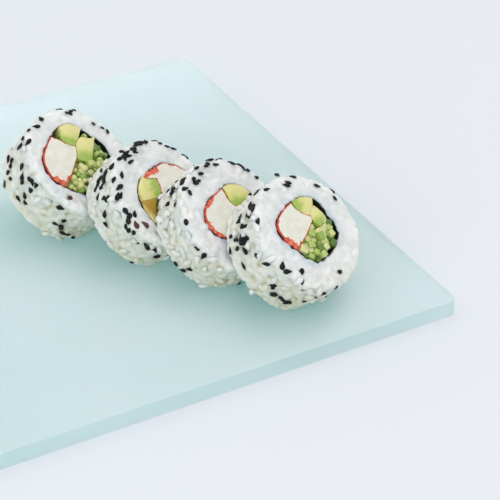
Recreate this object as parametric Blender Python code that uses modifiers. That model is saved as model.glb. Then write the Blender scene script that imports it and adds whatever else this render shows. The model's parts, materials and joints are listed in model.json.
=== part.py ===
"""Four uramaki slices that lean in a row on a thick glass plate.

Blender 4.5, metres, +Z up.  The origin is the middle of the plate's underside, the
plate's long side runs along X, and the row crosses the plate's right half from the
back to the front.  Each slice has its own frame, an empty at its middle: local Z is
the roll's axis and points out of the cut face that is seen, local Y points uphill
in that face and local X to the right.
"""

from __future__ import annotations

import math
from dataclasses import dataclass

import bmesh
import bpy
from mathutils import Vector, noise

MM = 0.001

# The plate, a slab of cast glass with ground corners and edges.
PLATE_SIZE = (350 * MM, 250 * MM, 7.6 * MM)
PLATE_CORNER_RADIUS = 3.4 * MM
PLATE_CORNER_STEPS = 6
PLATE_ARRIS = 0.7 * MM

# Pieces that touch in the real food keep this gap.
GAP = 0.3 * MM

# The coat of pressed rice, a short drum with rounded rims and a lumpy skin.
COAT_SIDES = 48
COAT_BANDS = 5
FRONT_RIM_RADIUS = 3.0 * MM
BACK_RIM_RADIUS = 1.8 * MM
RIM_STEPS = 2
FACE_INSET = 3.4 * MM
GRAIN_PITCH = 5.2 * MM
HEAP_PITCH = 21 * MM
SIDE_LUMP = 1.6 * MM
FACE_LUMP = 0.35 * MM

# The sheet of nori between the rice and the filling.
NORI_THICKNESS = 0.45 * MM
NORI_SIDES = 32
BORE_SIDES = 32

# The filling ends stay this far behind the cut faces of the rice, at each end.
FILLING_SETBACK = 0.3 * MM
# The share of a filling's side that its blunted corner takes.
CORNER_SHARE = 0.12
# The ends of the cucumber sticks notch the outline of their bundle.
STICK_PITCH = 3.4 * MM
STICK_NOTCH = 0.45 * MM


@dataclass(frozen=True)
class Roll:
    """One slice. Lengths are in millimetres and angles in degrees."""

    number: int
    place: tuple[float, float, float]  # its middle, above the plate's top
    lean: float  # between its axis and the vertical
    heading: float  # turned about the vertical
    length: float
    # Radii are given every 30 degrees from local X, towards local Y.
    coat_radii: tuple[float, ...]
    bore_centre: tuple[float, float]
    bore_radii: tuple[float, ...]
    crab: tuple[tuple[float, float], ...]
    avocado_a: tuple[tuple[float, float], ...]
    avocado_b: tuple[tuple[float, float], ...]
    cucumber: tuple[tuple[float, float], ...]


# Neighbouring fillings share the corners of their common border. Corners that lie
# past the nori are pulled back onto it.
ROLLS = (
    Roll(
        number=1,
        place=(56.8, 13.8, 24.4),
        lean=38.8,
        heading=25.7,
        length=26.8,
        coat_radii=(27.5, 27.5, 27.3, 27.3, 27.3, 26.5, 25.7, 26.8, 27.6, 28.0, 27.8, 27.6),
        bore_centre=(-0.7, 0.4),
        bore_radii=(17.8, 16.9, 18.7, 16.7, 16.0, 18.0, 18.6, 16.8, 17.6, 15.8, 16.4, 18.2),
        crab=(
            (-5.0, 15.6), (-2.4, 13.2), (-0.4, 9.9), (1.0, 7.7), (3.1, 6.0), (1.8, 3.4),
            (-0.8, 1.0), (-2.5, 0.0), (-7.3, -2.6), (-11.0, -4.9), (-15.5, -6.2),
            (-18.5, -2.5), (-20.0, 4.0), (-18.0, 9.0), (-12.5, 13.0),
        ),
        avocado_a=(
            (-0.8, 13.2), (4.8, 18.2), (9.5, 15.6), (11.4, 10.8), (7.9, 8.5), (3.1, 6.0),
            (1.0, 7.7), (-0.4, 9.9),
        ),
        avocado_b=(
            (3.1, 6.0), (7.6, 8.1), (9.6, 8.0), (14.2, 3.9), (9.3, -0.4), (4.0, -4.4),
            (1.4, -1.9), (-0.8, 1.0), (1.8, 3.4),
        ),
        cucumber=(
            (9.6, 8.0), (12.8, 10.9), (16.5, 6.0), (18.5, 0.0), (19.0, -6.0), (14.0, -13.0),
            (5.0, -16.5), (-5.0, -17.0), (-12.0, -14.5), (-15.5, -10.0), (-15.5, -6.2),
            (-11.0, -4.9), (-7.3, -2.6), (-2.5, 0.0), (-0.8, 1.0), (1.4, -1.9), (4.0, -4.4),
            (9.3, -0.4), (14.2, 3.9),
        ),
    ),
    Roll(
        number=2,
        place=(78.5, -24.4, 23.4),
        lean=43.3,
        heading=21.0,
        length=24.2,
        coat_radii=(26.1, 26.1, 26.1, 26.0, 25.9, 25.2, 24.4, 25.2, 27.0, 27.0, 26.4, 26.2),
        bore_centre=(2.4, -3.6),
        bore_radii=(16.6, 17.0, 16.8, 15.0, 16.0, 15.9, 15.8, 16.2, 15.4, 14.2, 14.6, 15.6),
        crab=(
            (-3.2, 8.7), (-1.0, 12.0), (5.0, 13.0), (11.0, 12.5), (16.0, 9.0), (20.0, 3.0),
            (18.5, -4.0), (10.0, -7.0), (3.0, -6.0), (-0.7, -0.2), (0.9, 3.1), (1.5, 6.5),
        ),
        avocado_a=(
            (-8.5, 11.5), (-3.2, 8.7), (1.5, 6.5), (0.9, 3.1), (-0.7, -0.2), (-3.9, -1.0),
            (-11.5, 1.2), (-14.0, 5.0),
        ),
        avocado_b=(
            (-11.5, 1.2), (-3.9, -1.0), (-7.2, -4.0), (-9.4, -7.2), (-12.5, -10.5),
            (-15.5, -6.0),
        ),
        cucumber=(
            (-3.9, -1.0), (-0.7, -0.2), (3.0, -6.0), (10.0, -7.0), (18.5, -4.0),
            (20.0, -10.0), (14.0, -17.0), (4.0, -20.0), (-6.0, -18.0), (-12.5, -10.5),
            (-9.4, -7.2), (-7.2, -4.0),
        ),
    ),
    Roll(
        number=3,
        place=(97.8, -54.1, 23.2),
        lean=42.2,
        heading=21.5,
        length=22.6,
        coat_radii=(27.0, 27.0, 27.0, 27.0, 26.8, 26.4, 26.0, 26.6, 27.3, 27.5, 27.2, 27.0),
        bore_centre=(0.5, -1.9),
        bore_radii=(15.0, 16.2, 15.9, 13.8, 14.3, 16.4, 15.6, 12.9, 14.0, 14.2, 14.4, 14.6),
        crab=(
            (2.0, 13.0), (2.9, 10.0), (2.3, 6.8), (2.6, 4.0), (4.6, 1.2), (2.0, -3.0),
            (-2.5, -5.5), (-7.5, -7.0), (-12.5, -7.5), (-15.0, -3.0), (-17.5, 1.0),
            (-17.0, 6.0), (-13.0, 9.5), (-8.0, 9.5), (-3.2, 12.5),
        ),
        avocado_a=(
            (4.0, 11.0), (8.0, 14.0), (13.5, 12.5), (16.5, 7.5), (13.6, 3.6), (10.5, 1.6),
            (4.6, 1.2), (2.6, 4.0), (3.1, 6.8),
        ),
        avocado_b=(
            (4.6, 1.2), (10.5, 1.6), (12.5, -3.0), (7.0, -6.5), (2.0, -3.0),
        ),
        cucumber=(
            (10.5, 1.6), (13.6, 3.6), (17.0, 2.0), (16.0, -8.0), (9.0, -15.0), (1.0, -18.0),
            (-7.0, -15.0), (-12.5, -7.5), (-7.5, -7.0), (-2.5, -5.5), (2.0, -3.0),
            (7.0, -6.5), (12.5, -3.0),
        ),
    ),
    Roll(
        number=4,
        place=(116.7, -83.8, 24.6),
        lean=41.8,
        heading=21.6,
        length=26.2,
        coat_radii=(28.0, 27.4, 27.0, 26.9, 26.8, 26.4, 25.8, 26.4, 27.3, 27.6, 27.4, 27.9),
        bore_centre=(0.6, 0.4),
        bore_radii=(14.5, 16.0, 15.3, 13.9, 14.7, 16.5, 14.4, 12.9, 15.6, 14.3, 14.8, 15.9),
        crab=(
            (0.6, 14.5), (1.0, 10.2), (2.6, 7.6), (3.9, 5.8), (5.7, 4.8), (4.9, 2.4),
            (1.2, 0.4), (-2.8, -1.4), (-7.2, -3.0), (-10.5, -5.0), (-13.0, -4.0),
            (-15.5, 1.0), (-16.5, 6.0), (-14.0, 11.0), (-9.5, 14.0), (-4.0, 15.0),
        ),
        avocado_a=(
            (1.8, 15.0), (8.5, 15.5), (13.5, 12.0), (10.5, 7.9), (7.2, 6.2), (5.7, 4.8),
            (3.9, 5.8), (2.6, 7.6), (1.0, 10.2),
        ),
        avocado_b=(
            (5.7, 4.8), (7.2, 6.2), (10.5, 7.9), (12.4, 1.9), (10.0, -0.2), (6.8, -2.0),
            (4.9, 2.4),
        ),
        cucumber=(
            (12.4, 1.9), (16.0, 4.0), (17.0, -4.0), (15.5, -10.0), (9.0, -14.0),
            (1.0, -16.0), (-7.0, -16.5), (-11.0, -12.0), (-12.0, -7.0), (-10.5, -5.0),
            (-7.2, -3.0), (-2.8, -1.4), (1.2, 0.4), (4.9, 2.4), (6.8, -2.0), (10.0, -0.2),
        ),
    ),
)


def clear_scene():
    """Remove every object, so that only the model is left."""
    for scene_object in list(bpy.data.objects):
        bpy.data.objects.remove(scene_object, do_unlink=True)


def collection(name):
    """Return a new collection linked to the scene."""
    made = bpy.data.collections.new(name)
    bpy.context.scene.collection.children.link(made)
    return made


def material(name, colour, roughness, transmission=0.0):
    """Return a Principled material; nothing in this food is metal."""
    made = bpy.data.materials.new(name)
    made.use_nodes = True
    shader = made.node_tree.nodes["Principled BSDF"]
    shader.inputs["Base Color"].default_value = (*colour, 1.0)
    shader.inputs["Roughness"].default_value = roughness
    shader.inputs["Metallic"].default_value = 0.0
    shader.inputs["Transmission Weight"].default_value = transmission
    return made


def place(mesh, name, where, finish=None, parent=None):
    """Put a mesh in the scene as a named object of a collection."""
    made = bpy.data.objects.new(name, mesh)
    where.objects.link(made)
    if finish is not None:
        mesh.materials.append(finish)
    if parent is not None:
        made.parent = parent
    return made


def as_cutter(cutter):
    """Mark an object as a tool that isn't part of the model."""
    cutter.hide_render = True
    cutter.display_type = "WIRE"


def cut(body, cutter):
    """Take a cutter's volume out of a body."""
    boolean = body.modifiers.new(cutter.name, "BOOLEAN")
    boolean.operation = "DIFFERENCE"
    boolean.solver = "EXACT"
    boolean.object = cutter


# --- outlines -------------------------------------------------------------------------


def radius_at(radii, angle):
    """Radius in metres at an angle, on a smooth closed curve through the radii."""
    turn = (angle / math.tau % 1.0) * len(radii)
    first = int(turn)
    step = turn - first
    before, start, end, after = (radii[(first + k) % len(radii)] for k in (-1, 0, 1, 2))
    slope_in = (end - before) / 2
    slope_out = (after - start) / 2
    cubic = (2 * start - 2 * end + slope_in + slope_out) * step**3
    square = (3 * end - 3 * start - 2 * slope_in - slope_out) * step**2
    return (cubic + square + slope_in * step + start) * MM


def bore_outline(roll, inset, sides):
    """Outline of the hole in the rice, drawn in by an inset."""
    centre = Vector(roll.bore_centre) * MM
    outline = []
    for side in range(sides):
        angle = math.tau * side / sides
        spoke = Vector((math.cos(angle), math.sin(angle)))
        outline.append(centre + spoke * (radius_at(roll.bore_radii, angle) - inset))
    return outline


def corners_cut(outline):
    """Blunt each corner of a closed outline by a small share of its sides."""
    cut_points = []
    for here, after in zip(outline, outline[1:] + outline[:1], strict=True):
        cut_points.append(here.lerp(after, CORNER_SHARE))
        cut_points.append(here.lerp(after, 1.0 - CORNER_SHARE))
    return cut_points


def drawn_in(outline, inset):
    """Move each side of a closed outline inwards by an inset."""
    area = sum(a.cross(b) for a, b in zip(outline, outline[1:] + outline[:1], strict=True))
    inward = math.copysign(1.0, area)
    moved = []
    for k, here in enumerate(outline):
        side_in = (here - outline[k - 1]).normalized()
        side_out = (outline[(k + 1) % len(outline)] - here).normalized()
        normal_in = Vector((-side_in.y, side_in.x)) * inward
        normal_out = Vector((-side_out.y, side_out.x)) * inward
        mitre = 1.0 + normal_in.dot(normal_out)
        moved.append(here + (normal_in + normal_out) * (inset / max(mitre, 0.6)))
    return moved


def held_by_nori(roll, outline):
    """Pull each point that lies past the nori's inner side back onto it."""
    centre = Vector(roll.bore_centre) * MM
    nori_inset = GAP + NORI_THICKNESS + GAP
    held = []
    for point in outline:
        spoke = point - centre
        reach = radius_at(roll.bore_radii, math.atan2(spoke.y, spoke.x)) - nori_inset
        held.append(centre + spoke * min(1.0, reach / spoke.length))
    return held


def stepped(outline, pitch):
    """Walk a closed outline in an even number of equal steps of about a pitch."""
    sides = list(zip(outline, outline[1:] + outline[:1], strict=True))
    total = sum((end - start).length for start, end in sides)
    count = 2 * round(total / pitch / 2)
    step = total / count
    points = []
    walked = 0.0
    for start, end in sides:
        side = (end - start).length
        while len(points) < count and len(points) * step < walked + side:
            points.append(start.lerp(end, (len(points) * step - walked) / side))
        walked += side
    return points


def filling_outline(roll, corners):
    """Outline of one filling, blunted, inside the nori and clear of its neighbours."""
    sharp = held_by_nori(roll, [Vector(corner) * MM for corner in corners])
    blunted = held_by_nori(roll, corners_cut(sharp))
    return drawn_in(blunted, GAP / 2)


def bundle_outline(roll, corners):
    """Outline of the cucumber sticks, notched between one stick end and the next."""
    smooth = filling_outline(roll, corners)
    points = stepped(smooth, STICK_PITCH / 2)
    notched = drawn_in(points, STICK_NOTCH)
    return [notched[k] if k % 2 else points[k] for k in range(len(points))]


# --- shapes ---------------------------------------------------------------------------


def outline_mesh(name, outline, length, filled=True):
    """Extrude a flat outline along Z, about its middle, with or without its ends."""
    curve = bpy.data.curves.new(name, "CURVE")
    curve.dimensions = "2D"
    curve.fill_mode = "BOTH" if filled else "NONE"
    curve.extrude = length / 2
    spline = curve.splines.new("POLY")
    spline.points.add(len(outline) - 1)
    for spline_point, corner in zip(spline.points, outline, strict=True):
        spline_point.co = (corner.x, corner.y, 0.0, 1.0)
    spline.use_cyclic_u = True
    flat = bpy.data.objects.new(name, curve)
    bpy.context.scene.collection.objects.link(flat)
    evaluated = flat.evaluated_get(bpy.context.evaluated_depsgraph_get())
    mesh = bpy.data.meshes.new_from_object(evaluated)
    bpy.data.objects.remove(flat)
    bpy.data.curves.remove(curve)
    shape = bmesh.new()
    shape.from_mesh(mesh)
    bmesh.ops.remove_doubles(shape, verts=shape.verts, dist=1e-6)
    bmesh.ops.recalc_face_normals(shape, faces=shape.faces)
    shape.to_mesh(mesh)
    shape.free()
    mesh.name = name
    return mesh


def plate_mesh():
    """A flat slab with rounded corners; its edges are ground by a modifier."""
    shape = bmesh.new()
    bmesh.ops.create_cube(shape, size=1.0)
    bmesh.ops.scale(shape, vec=PLATE_SIZE, verts=shape.verts)
    bmesh.ops.translate(shape, vec=(0, 0, PLATE_SIZE[2] / 2), verts=shape.verts)
    upright = [e for e in shape.edges if e.verts[0].co.xy == e.verts[1].co.xy]
    bmesh.ops.bevel(
        shape,
        geom=upright,
        offset=PLATE_CORNER_RADIUS,
        segments=PLATE_CORNER_STEPS,
        profile=0.5,
        affect="EDGES",
    )
    mesh = bpy.data.meshes.new("plate")
    shape.to_mesh(mesh)
    shape.free()
    return mesh


def lump(point, number):
    """Depth between 0 and 1 of the dents among the grains at a point of a slice."""
    shift = Vector((37.0, 11.0, 23.0)) * number
    grain = noise.noise(point / GRAIN_PITCH + shift)
    heap = noise.noise(point / HEAP_PITCH - shift)
    return min(1.0, max(0.0, 0.5 + 0.6 * grain + 0.55 * heap))


def drum(roll, margin=0.0):
    """The outermost form of a slice, an uneven drum, grown by a margin all round."""
    shape = bmesh.new()
    bmesh.ops.create_cone(
        shape,
        cap_ends=True,
        segments=COAT_SIDES,
        radius1=1.0,
        radius2=1.0,
        depth=roll.length * MM + 2 * margin,
    )
    for vert in shape.verts:
        radius = radius_at(roll.coat_radii, math.atan2(vert.co.y, vert.co.x)) + margin
        vert.co.x *= radius
        vert.co.y *= radius
    return shape


def round_rim(shape, side, offset):
    """Round the rim of a drum at its front, side 1, or at its back, side -1."""
    rim = [e for e in shape.edges if all(v.co.z * side > 0 for v in e.verts)]
    bmesh.ops.bevel(
        shape,
        geom=rim,
        offset=offset,
        segments=RIM_STEPS,
        profile=0.5,
        affect="EDGES",
    )


def coat_mesh(roll):
    """A solid drum of pressed rice: round rims, a lumpy side, flatter cut faces."""
    shape = drum(roll)
    round_rim(shape, 1, FRONT_RIM_RADIUS)
    round_rim(shape, -1, BACK_RIM_RADIUS)
    top = roll.length * MM / 2 - FRONT_RIM_RADIUS
    bottom = BACK_RIM_RADIUS - roll.length * MM / 2
    for band in range(1, COAT_BANDS):
        bmesh.ops.bisect_plane(
            shape,
            geom=[*shape.verts, *shape.edges, *shape.faces],
            plane_co=(0, 0, bottom + (top - bottom) * band / COAT_BANDS),
            plane_no=(0, 0, 1),
        )
    faces = [f for f in shape.faces if len(f.verts) == COAT_SIDES]
    bmesh.ops.inset_region(shape, faces=faces, thickness=FACE_INSET)
    shape.normal_update()
    for vert in shape.verts:
        depth = FACE_LUMP + (SIDE_LUMP - FACE_LUMP) * (1.0 - abs(vert.normal.z))
        vert.co -= vert.normal * depth * lump(vert.co, roll.number)
    mesh = bpy.data.meshes.new(f"roll_{roll.number}_rice")
    shape.to_mesh(mesh)
    shape.free()
    mesh.shade_smooth()
    return mesh


# --- the object -----------------------------------------------------------------------


def add_plate(where, finish):
    """The glass plate that everything lies on."""
    plate = place(plate_mesh(), "plate", where, finish)
    arris = plate.modifiers.new("ground edges", "BEVEL")
    arris.width = PLATE_ARRIS
    arris.segments = 2
    arris.limit_method = "ANGLE"
    return plate


def add_cutter(shape, name, where, parent=None):
    """Make a shape a cutter, free the shape and return the cutter."""
    mesh = bpy.data.meshes.new(name)
    shape.to_mesh(mesh)
    shape.free()
    cutter = place(mesh, name, where, parent=parent)
    as_cutter(cutter)
    return cutter


def add_plate_cutter(where):
    """A block that trims what would sink into the plate's top."""
    block = bmesh.new()
    bmesh.ops.create_cube(block, size=1.0)
    width, depth, height = PLATE_SIZE
    bmesh.ops.scale(block, vec=(width, depth, 2 * height), verts=block.verts)
    bmesh.ops.translate(block, vec=(0, 0, GAP), verts=block.verts)
    return add_cutter(block, "plate_top", where)


def add_roll(roll, where, cutters, finishes, pressed_on):
    """One slice: rice outside, then nori, then the fillings that run through it.

    Its rice is pressed flat where it leans on the cutters in pressed_on.
    """
    name = f"roll_{roll.number}"
    frame = bpy.data.objects.new(name, None)
    where.objects.link(frame)
    x, y, above = (value * MM for value in roll.place)
    frame.location = (x, y, PLATE_SIZE[2] + above)
    frame.rotation_euler = (math.radians(roll.lean), 0.0, math.radians(roll.heading))
    length = roll.length * MM

    rice = place(coat_mesh(roll), f"{name}_rice", where, finishes["rice"], frame)
    bore_mesh = outline_mesh(f"{name}_bore", bore_outline(roll, 0.0, BORE_SIDES), 2 * length)
    bore = place(bore_mesh, f"{name}_bore", cutters, parent=frame)
    as_cutter(bore)
    cut(rice, bore)
    for cutter in pressed_on:
        cut(rice, cutter)

    filling_length = length - 2 * FILLING_SETBACK
    sheet_outline = bore_outline(roll, GAP, NORI_SIDES)
    sheet = outline_mesh(f"{name}_nori", sheet_outline, filling_length, filled=False)
    nori = place(sheet, f"{name}_nori", where, finishes["nori"], frame)
    thickness = nori.modifiers.new("sheet", "SOLIDIFY")
    thickness.thickness = NORI_THICKNESS
    thickness.offset = -1.0

    outlines = {
        "crab": filling_outline(roll, roll.crab),
        "avocado_a": filling_outline(roll, roll.avocado_a),
        "avocado_b": filling_outline(roll, roll.avocado_b),
        "cucumber": bundle_outline(roll, roll.cucumber),
    }
    for filling, outline in outlines.items():
        mesh = outline_mesh(f"{name}_{filling}", outline, filling_length)
        place(mesh, f"{name}_{filling}", where, finishes[filling.split("_")[0]], frame)
    return frame


def build():
    """Make the whole plate of food."""
    clear_scene()
    parts = collection("Uramaki on a glass plate")
    cutters = collection("Cutters")
    finishes = {
        "rice": material("rice", (0.83, 0.85, 0.80), 0.55),
        "nori": material("nori", (0.012, 0.018, 0.012), 0.6),
        "crab": material("crab stick", (0.86, 0.78, 0.68), 0.5),
        "avocado": material("avocado", (0.62, 0.66, 0.20), 0.45),
        "cucumber": material("cucumber", (0.45, 0.58, 0.22), 0.35),
    }
    glass = material("satin glass", (0.66, 0.82, 0.82), 0.45, transmission=0.6)
    add_plate(parts, glass)
    plate_top = add_plate_cutter(cutters)
    pressed_on = [plate_top]
    for roll in ROLLS:
        frame = add_roll(roll, parts, cutters, finishes, pressed_on)
        pressing = add_cutter(drum(roll, GAP), f"{frame.name}_press", cutters, frame)
        pressed_on = [plate_top, pressing]


build()
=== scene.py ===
"""Uramaki slices on a satin glass plate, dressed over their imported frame.

Blender 4.5, metres, +Z up. Every slice is worked on in its own frame, with local Z out of
the cut face that is seen, Y uphill in that face and X to the right. Its pieces are then
set in their place in the row.
"""

import json
import logging
import math
import random
from collections.abc import Callable, Iterator
from contextlib import contextmanager
from dataclasses import dataclass, field
from enum import Enum

import bmesh
import bpy
from mathutils import Euler, Matrix, Vector, noise
from mathutils.bvhtree import BVHTree

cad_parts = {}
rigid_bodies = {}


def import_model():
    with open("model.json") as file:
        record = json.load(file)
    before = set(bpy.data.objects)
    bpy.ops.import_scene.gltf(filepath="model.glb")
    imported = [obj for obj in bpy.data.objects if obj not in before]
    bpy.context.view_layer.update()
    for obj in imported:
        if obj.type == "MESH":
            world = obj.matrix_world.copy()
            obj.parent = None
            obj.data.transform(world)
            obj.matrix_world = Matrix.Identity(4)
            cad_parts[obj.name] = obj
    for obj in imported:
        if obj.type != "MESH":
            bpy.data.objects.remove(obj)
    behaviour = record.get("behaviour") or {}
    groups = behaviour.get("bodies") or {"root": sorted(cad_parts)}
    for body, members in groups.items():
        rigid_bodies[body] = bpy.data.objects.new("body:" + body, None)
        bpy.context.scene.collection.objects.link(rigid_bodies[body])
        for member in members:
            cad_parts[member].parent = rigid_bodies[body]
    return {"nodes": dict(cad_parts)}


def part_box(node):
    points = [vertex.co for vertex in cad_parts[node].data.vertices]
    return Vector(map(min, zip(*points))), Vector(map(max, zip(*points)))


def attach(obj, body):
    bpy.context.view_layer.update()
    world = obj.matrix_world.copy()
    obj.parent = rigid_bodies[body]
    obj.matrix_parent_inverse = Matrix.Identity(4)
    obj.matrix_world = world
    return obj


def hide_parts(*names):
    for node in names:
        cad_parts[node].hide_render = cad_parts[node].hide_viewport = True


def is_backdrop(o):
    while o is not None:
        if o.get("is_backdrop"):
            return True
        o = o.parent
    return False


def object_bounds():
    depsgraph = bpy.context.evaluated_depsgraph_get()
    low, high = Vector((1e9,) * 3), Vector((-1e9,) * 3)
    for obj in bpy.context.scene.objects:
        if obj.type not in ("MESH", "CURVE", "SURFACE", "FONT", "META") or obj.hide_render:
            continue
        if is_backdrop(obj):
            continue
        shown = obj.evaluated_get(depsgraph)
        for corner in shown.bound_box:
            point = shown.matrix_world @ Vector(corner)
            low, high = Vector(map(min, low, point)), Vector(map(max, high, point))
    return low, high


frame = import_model()
CAD_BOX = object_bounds()

log = logging.getLogger("uramaki")

MM = 0.001
BODY = "root"

Colour = tuple[float, float, float]
Piece = bpy.types.Object

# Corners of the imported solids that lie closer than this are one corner.
MERGE = 1e-6
FLAT_ANGLE = math.radians(1.0)

# Vector noise starts from the clock unless it is given a seed.
NOISE_SEED = 5


class Slot(Enum):
    """The record's material slots."""

    GLASS = "glass"
    RICE = "rice"
    SESAME = "sesame"
    NORI = "nori"
    CRAB = "crab_stick"
    AVOCADO = "avocado"
    CUCUMBER = "cucumber"


class Part(Enum):
    """The solids that a packed slice consists of."""

    RICE = "rice"
    NORI = "nori"
    CRAB = "crab"
    AVOCADO_A = "avocado_a"
    AVOCADO_B = "avocado_b"
    CUCUMBER = "cucumber"


class Element(Enum):
    """What is picked on a mesh in edit mode."""

    VERT = "verts"
    EDGE = "edges"
    FACE = "faces"


class GrainKind(Enum):
    """The shapes of cooked rice grains."""

    PLUMP = 0
    BENT = 1
    BROKEN = 2
    POINTED = 3


# --- the bench: plain modelling moves ---------------------------------------------------


def tint(red: int, green: int, blue: int) -> Colour:
    """Turn a display colour, 0 to 255, into the linear one that shaders take."""
    return tuple(
        value / 12.92 if value <= 0.04045 else ((value + 0.055) / 1.055) ** 2.4
        for value in (red / 255, green / 255, blue / 255)
    )


def smooth_step(low: float, high: float, value: float) -> float:
    """Rise smoothly from 0 at low to 1 at high."""
    part = min(1.0, max(0.0, (value - low) / (high - low)))
    return part * part * (3.0 - 2.0 * part)


def activate(piece: Piece) -> None:
    """Select one piece alone and make it the active one."""
    bpy.ops.object.select_all(action="DESELECT")
    piece.select_set(True)
    bpy.context.view_layer.objects.active = piece


@contextmanager
def editing(piece: Piece) -> Iterator[None]:
    """Work on one piece in edit mode.

    Args:
        piece: The mesh object to work on.
    """
    activate(piece)
    bpy.ops.object.mode_set(mode="EDIT")
    bpy.ops.mesh.select_all(action="DESELECT")
    try:
        yield
    finally:
        bpy.ops.object.mode_set(mode="OBJECT")


def pick(piece: Piece, kind: Element, wanted: Callable[..., bool]) -> int:
    """Select, in edit mode, the elements that pass a test, and nothing else.

    Args:
        piece: The mesh object that is in edit mode.
        kind: Whether corners, edges or faces are picked.
        wanted: The test, given one bmesh element.

    Returns:
        How many elements were picked.
    """
    bpy.ops.mesh.select_mode(type=kind.name)
    bpy.ops.mesh.select_all(action="DESELECT")
    shape = bmesh.from_edit_mesh(piece.data)
    chosen = [element for element in getattr(shape, kind.value) if wanted(element)]
    for element in chosen:
        element.select_set(True)
    shape.select_flush_mode()
    bmesh.update_edit_mesh(piece.data)
    return len(chosen)


def finish_with(piece: Piece, kind: str, **settings: object) -> None:
    """Add a modifier to a piece and apply it.

    Args:
        piece: The object to change.
        kind: The modifier's type, such as BEVEL.
        **settings: The modifier's settings by name.
    """
    modifier = piece.modifiers.new(kind.lower(), kind)
    for name, value in settings.items():
        setattr(modifier, name, value)
    activate(piece)
    bpy.ops.object.modifier_apply(modifier=modifier.name)


def move_corners(piece: Piece, mover: Callable[[Vector, Vector], Vector]) -> None:
    """Move every corner of a piece by a rule.

    Args:
        piece: The mesh object to change.
        mover: Gives a corner's new place from its place and its normal.
    """
    mesh = piece.data
    moved = [mover(vert.co.copy(), vert.normal.copy()) for vert in mesh.vertices]
    for vert, place in zip(mesh.vertices, moved, strict=True):
        vert.co = place
    mesh.update()


def surface_of(piece: Piece) -> BVHTree:
    """Return a search tree over a piece's faces."""
    mesh = piece.data
    corners = [vert.co for vert in mesh.vertices]
    return BVHTree.FromPolygons(corners, [face.vertices for face in mesh.polygons])


def paint_value(piece: Piece, name: str, rule: Callable[[Vector], float]) -> None:
    """Store a value at every corner of a piece, for its material to read.

    Args:
        piece: The mesh object.
        name: The attribute's name.
        rule: Gives the value at a place.
    """
    values = piece.data.attributes.new(name, "FLOAT", "POINT")
    for vert, entry in zip(piece.data.vertices, values.data, strict=True):
        entry.value = rule(vert.co)


def join(pieces: list[Piece], name: str) -> Piece:
    """Join several mesh objects into one.

    Args:
        pieces: The objects, of which the first stays.
        name: The name of the joined object.

    Returns:
        The joined object.
    """
    activate(pieces[0])
    for piece in pieces[1:]:
        piece.select_set(True)
    bpy.ops.object.join()
    pieces[0].name = name
    pieces[0].data.name = name
    return pieces[0]


def dismiss(piece: Piece) -> None:
    """Remove a helper object and its mesh."""
    mesh = piece.data
    bpy.data.objects.remove(piece)
    bpy.data.meshes.remove(mesh)


def hand_over(piece: Piece, finish: bpy.types.Material, slot: Slot, *nodes: str) -> Piece:
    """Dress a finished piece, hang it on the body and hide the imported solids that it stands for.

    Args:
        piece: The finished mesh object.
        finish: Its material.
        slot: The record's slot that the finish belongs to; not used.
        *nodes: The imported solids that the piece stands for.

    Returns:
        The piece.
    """
    piece.data.materials.clear()
    piece.data.materials.append(finish)
    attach(piece, BODY)
    if nodes:
        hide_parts(*nodes)
    log.info("%s: %d faces", piece.name, len(piece.data.polygons))
    return piece


# --- scattering: one shape copied to many places ----------------------------------------


@dataclass
class Placement:
    """Where one copy of a small shape lies."""

    place: Vector
    turn: Euler
    size: float
    kind: int
    tone: float


def lying(normal: Vector, turn: float, tilt: float = 0.0) -> Euler:
    """Turn a shape that lies along X so that it lies on a surface.

    Args:
        normal: The surface's outward direction.
        turn: How far it is turned about that direction.
        tilt: How far its end is lifted off the surface.

    Returns:
        The turn as Euler angles.
    """
    upright = normal.to_track_quat("Z", "Y").to_matrix()
    spun = upright @ Matrix.Rotation(turn, 3, "Z") @ Matrix.Rotation(tilt, 3, "Y")
    return spun.to_euler()


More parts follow.
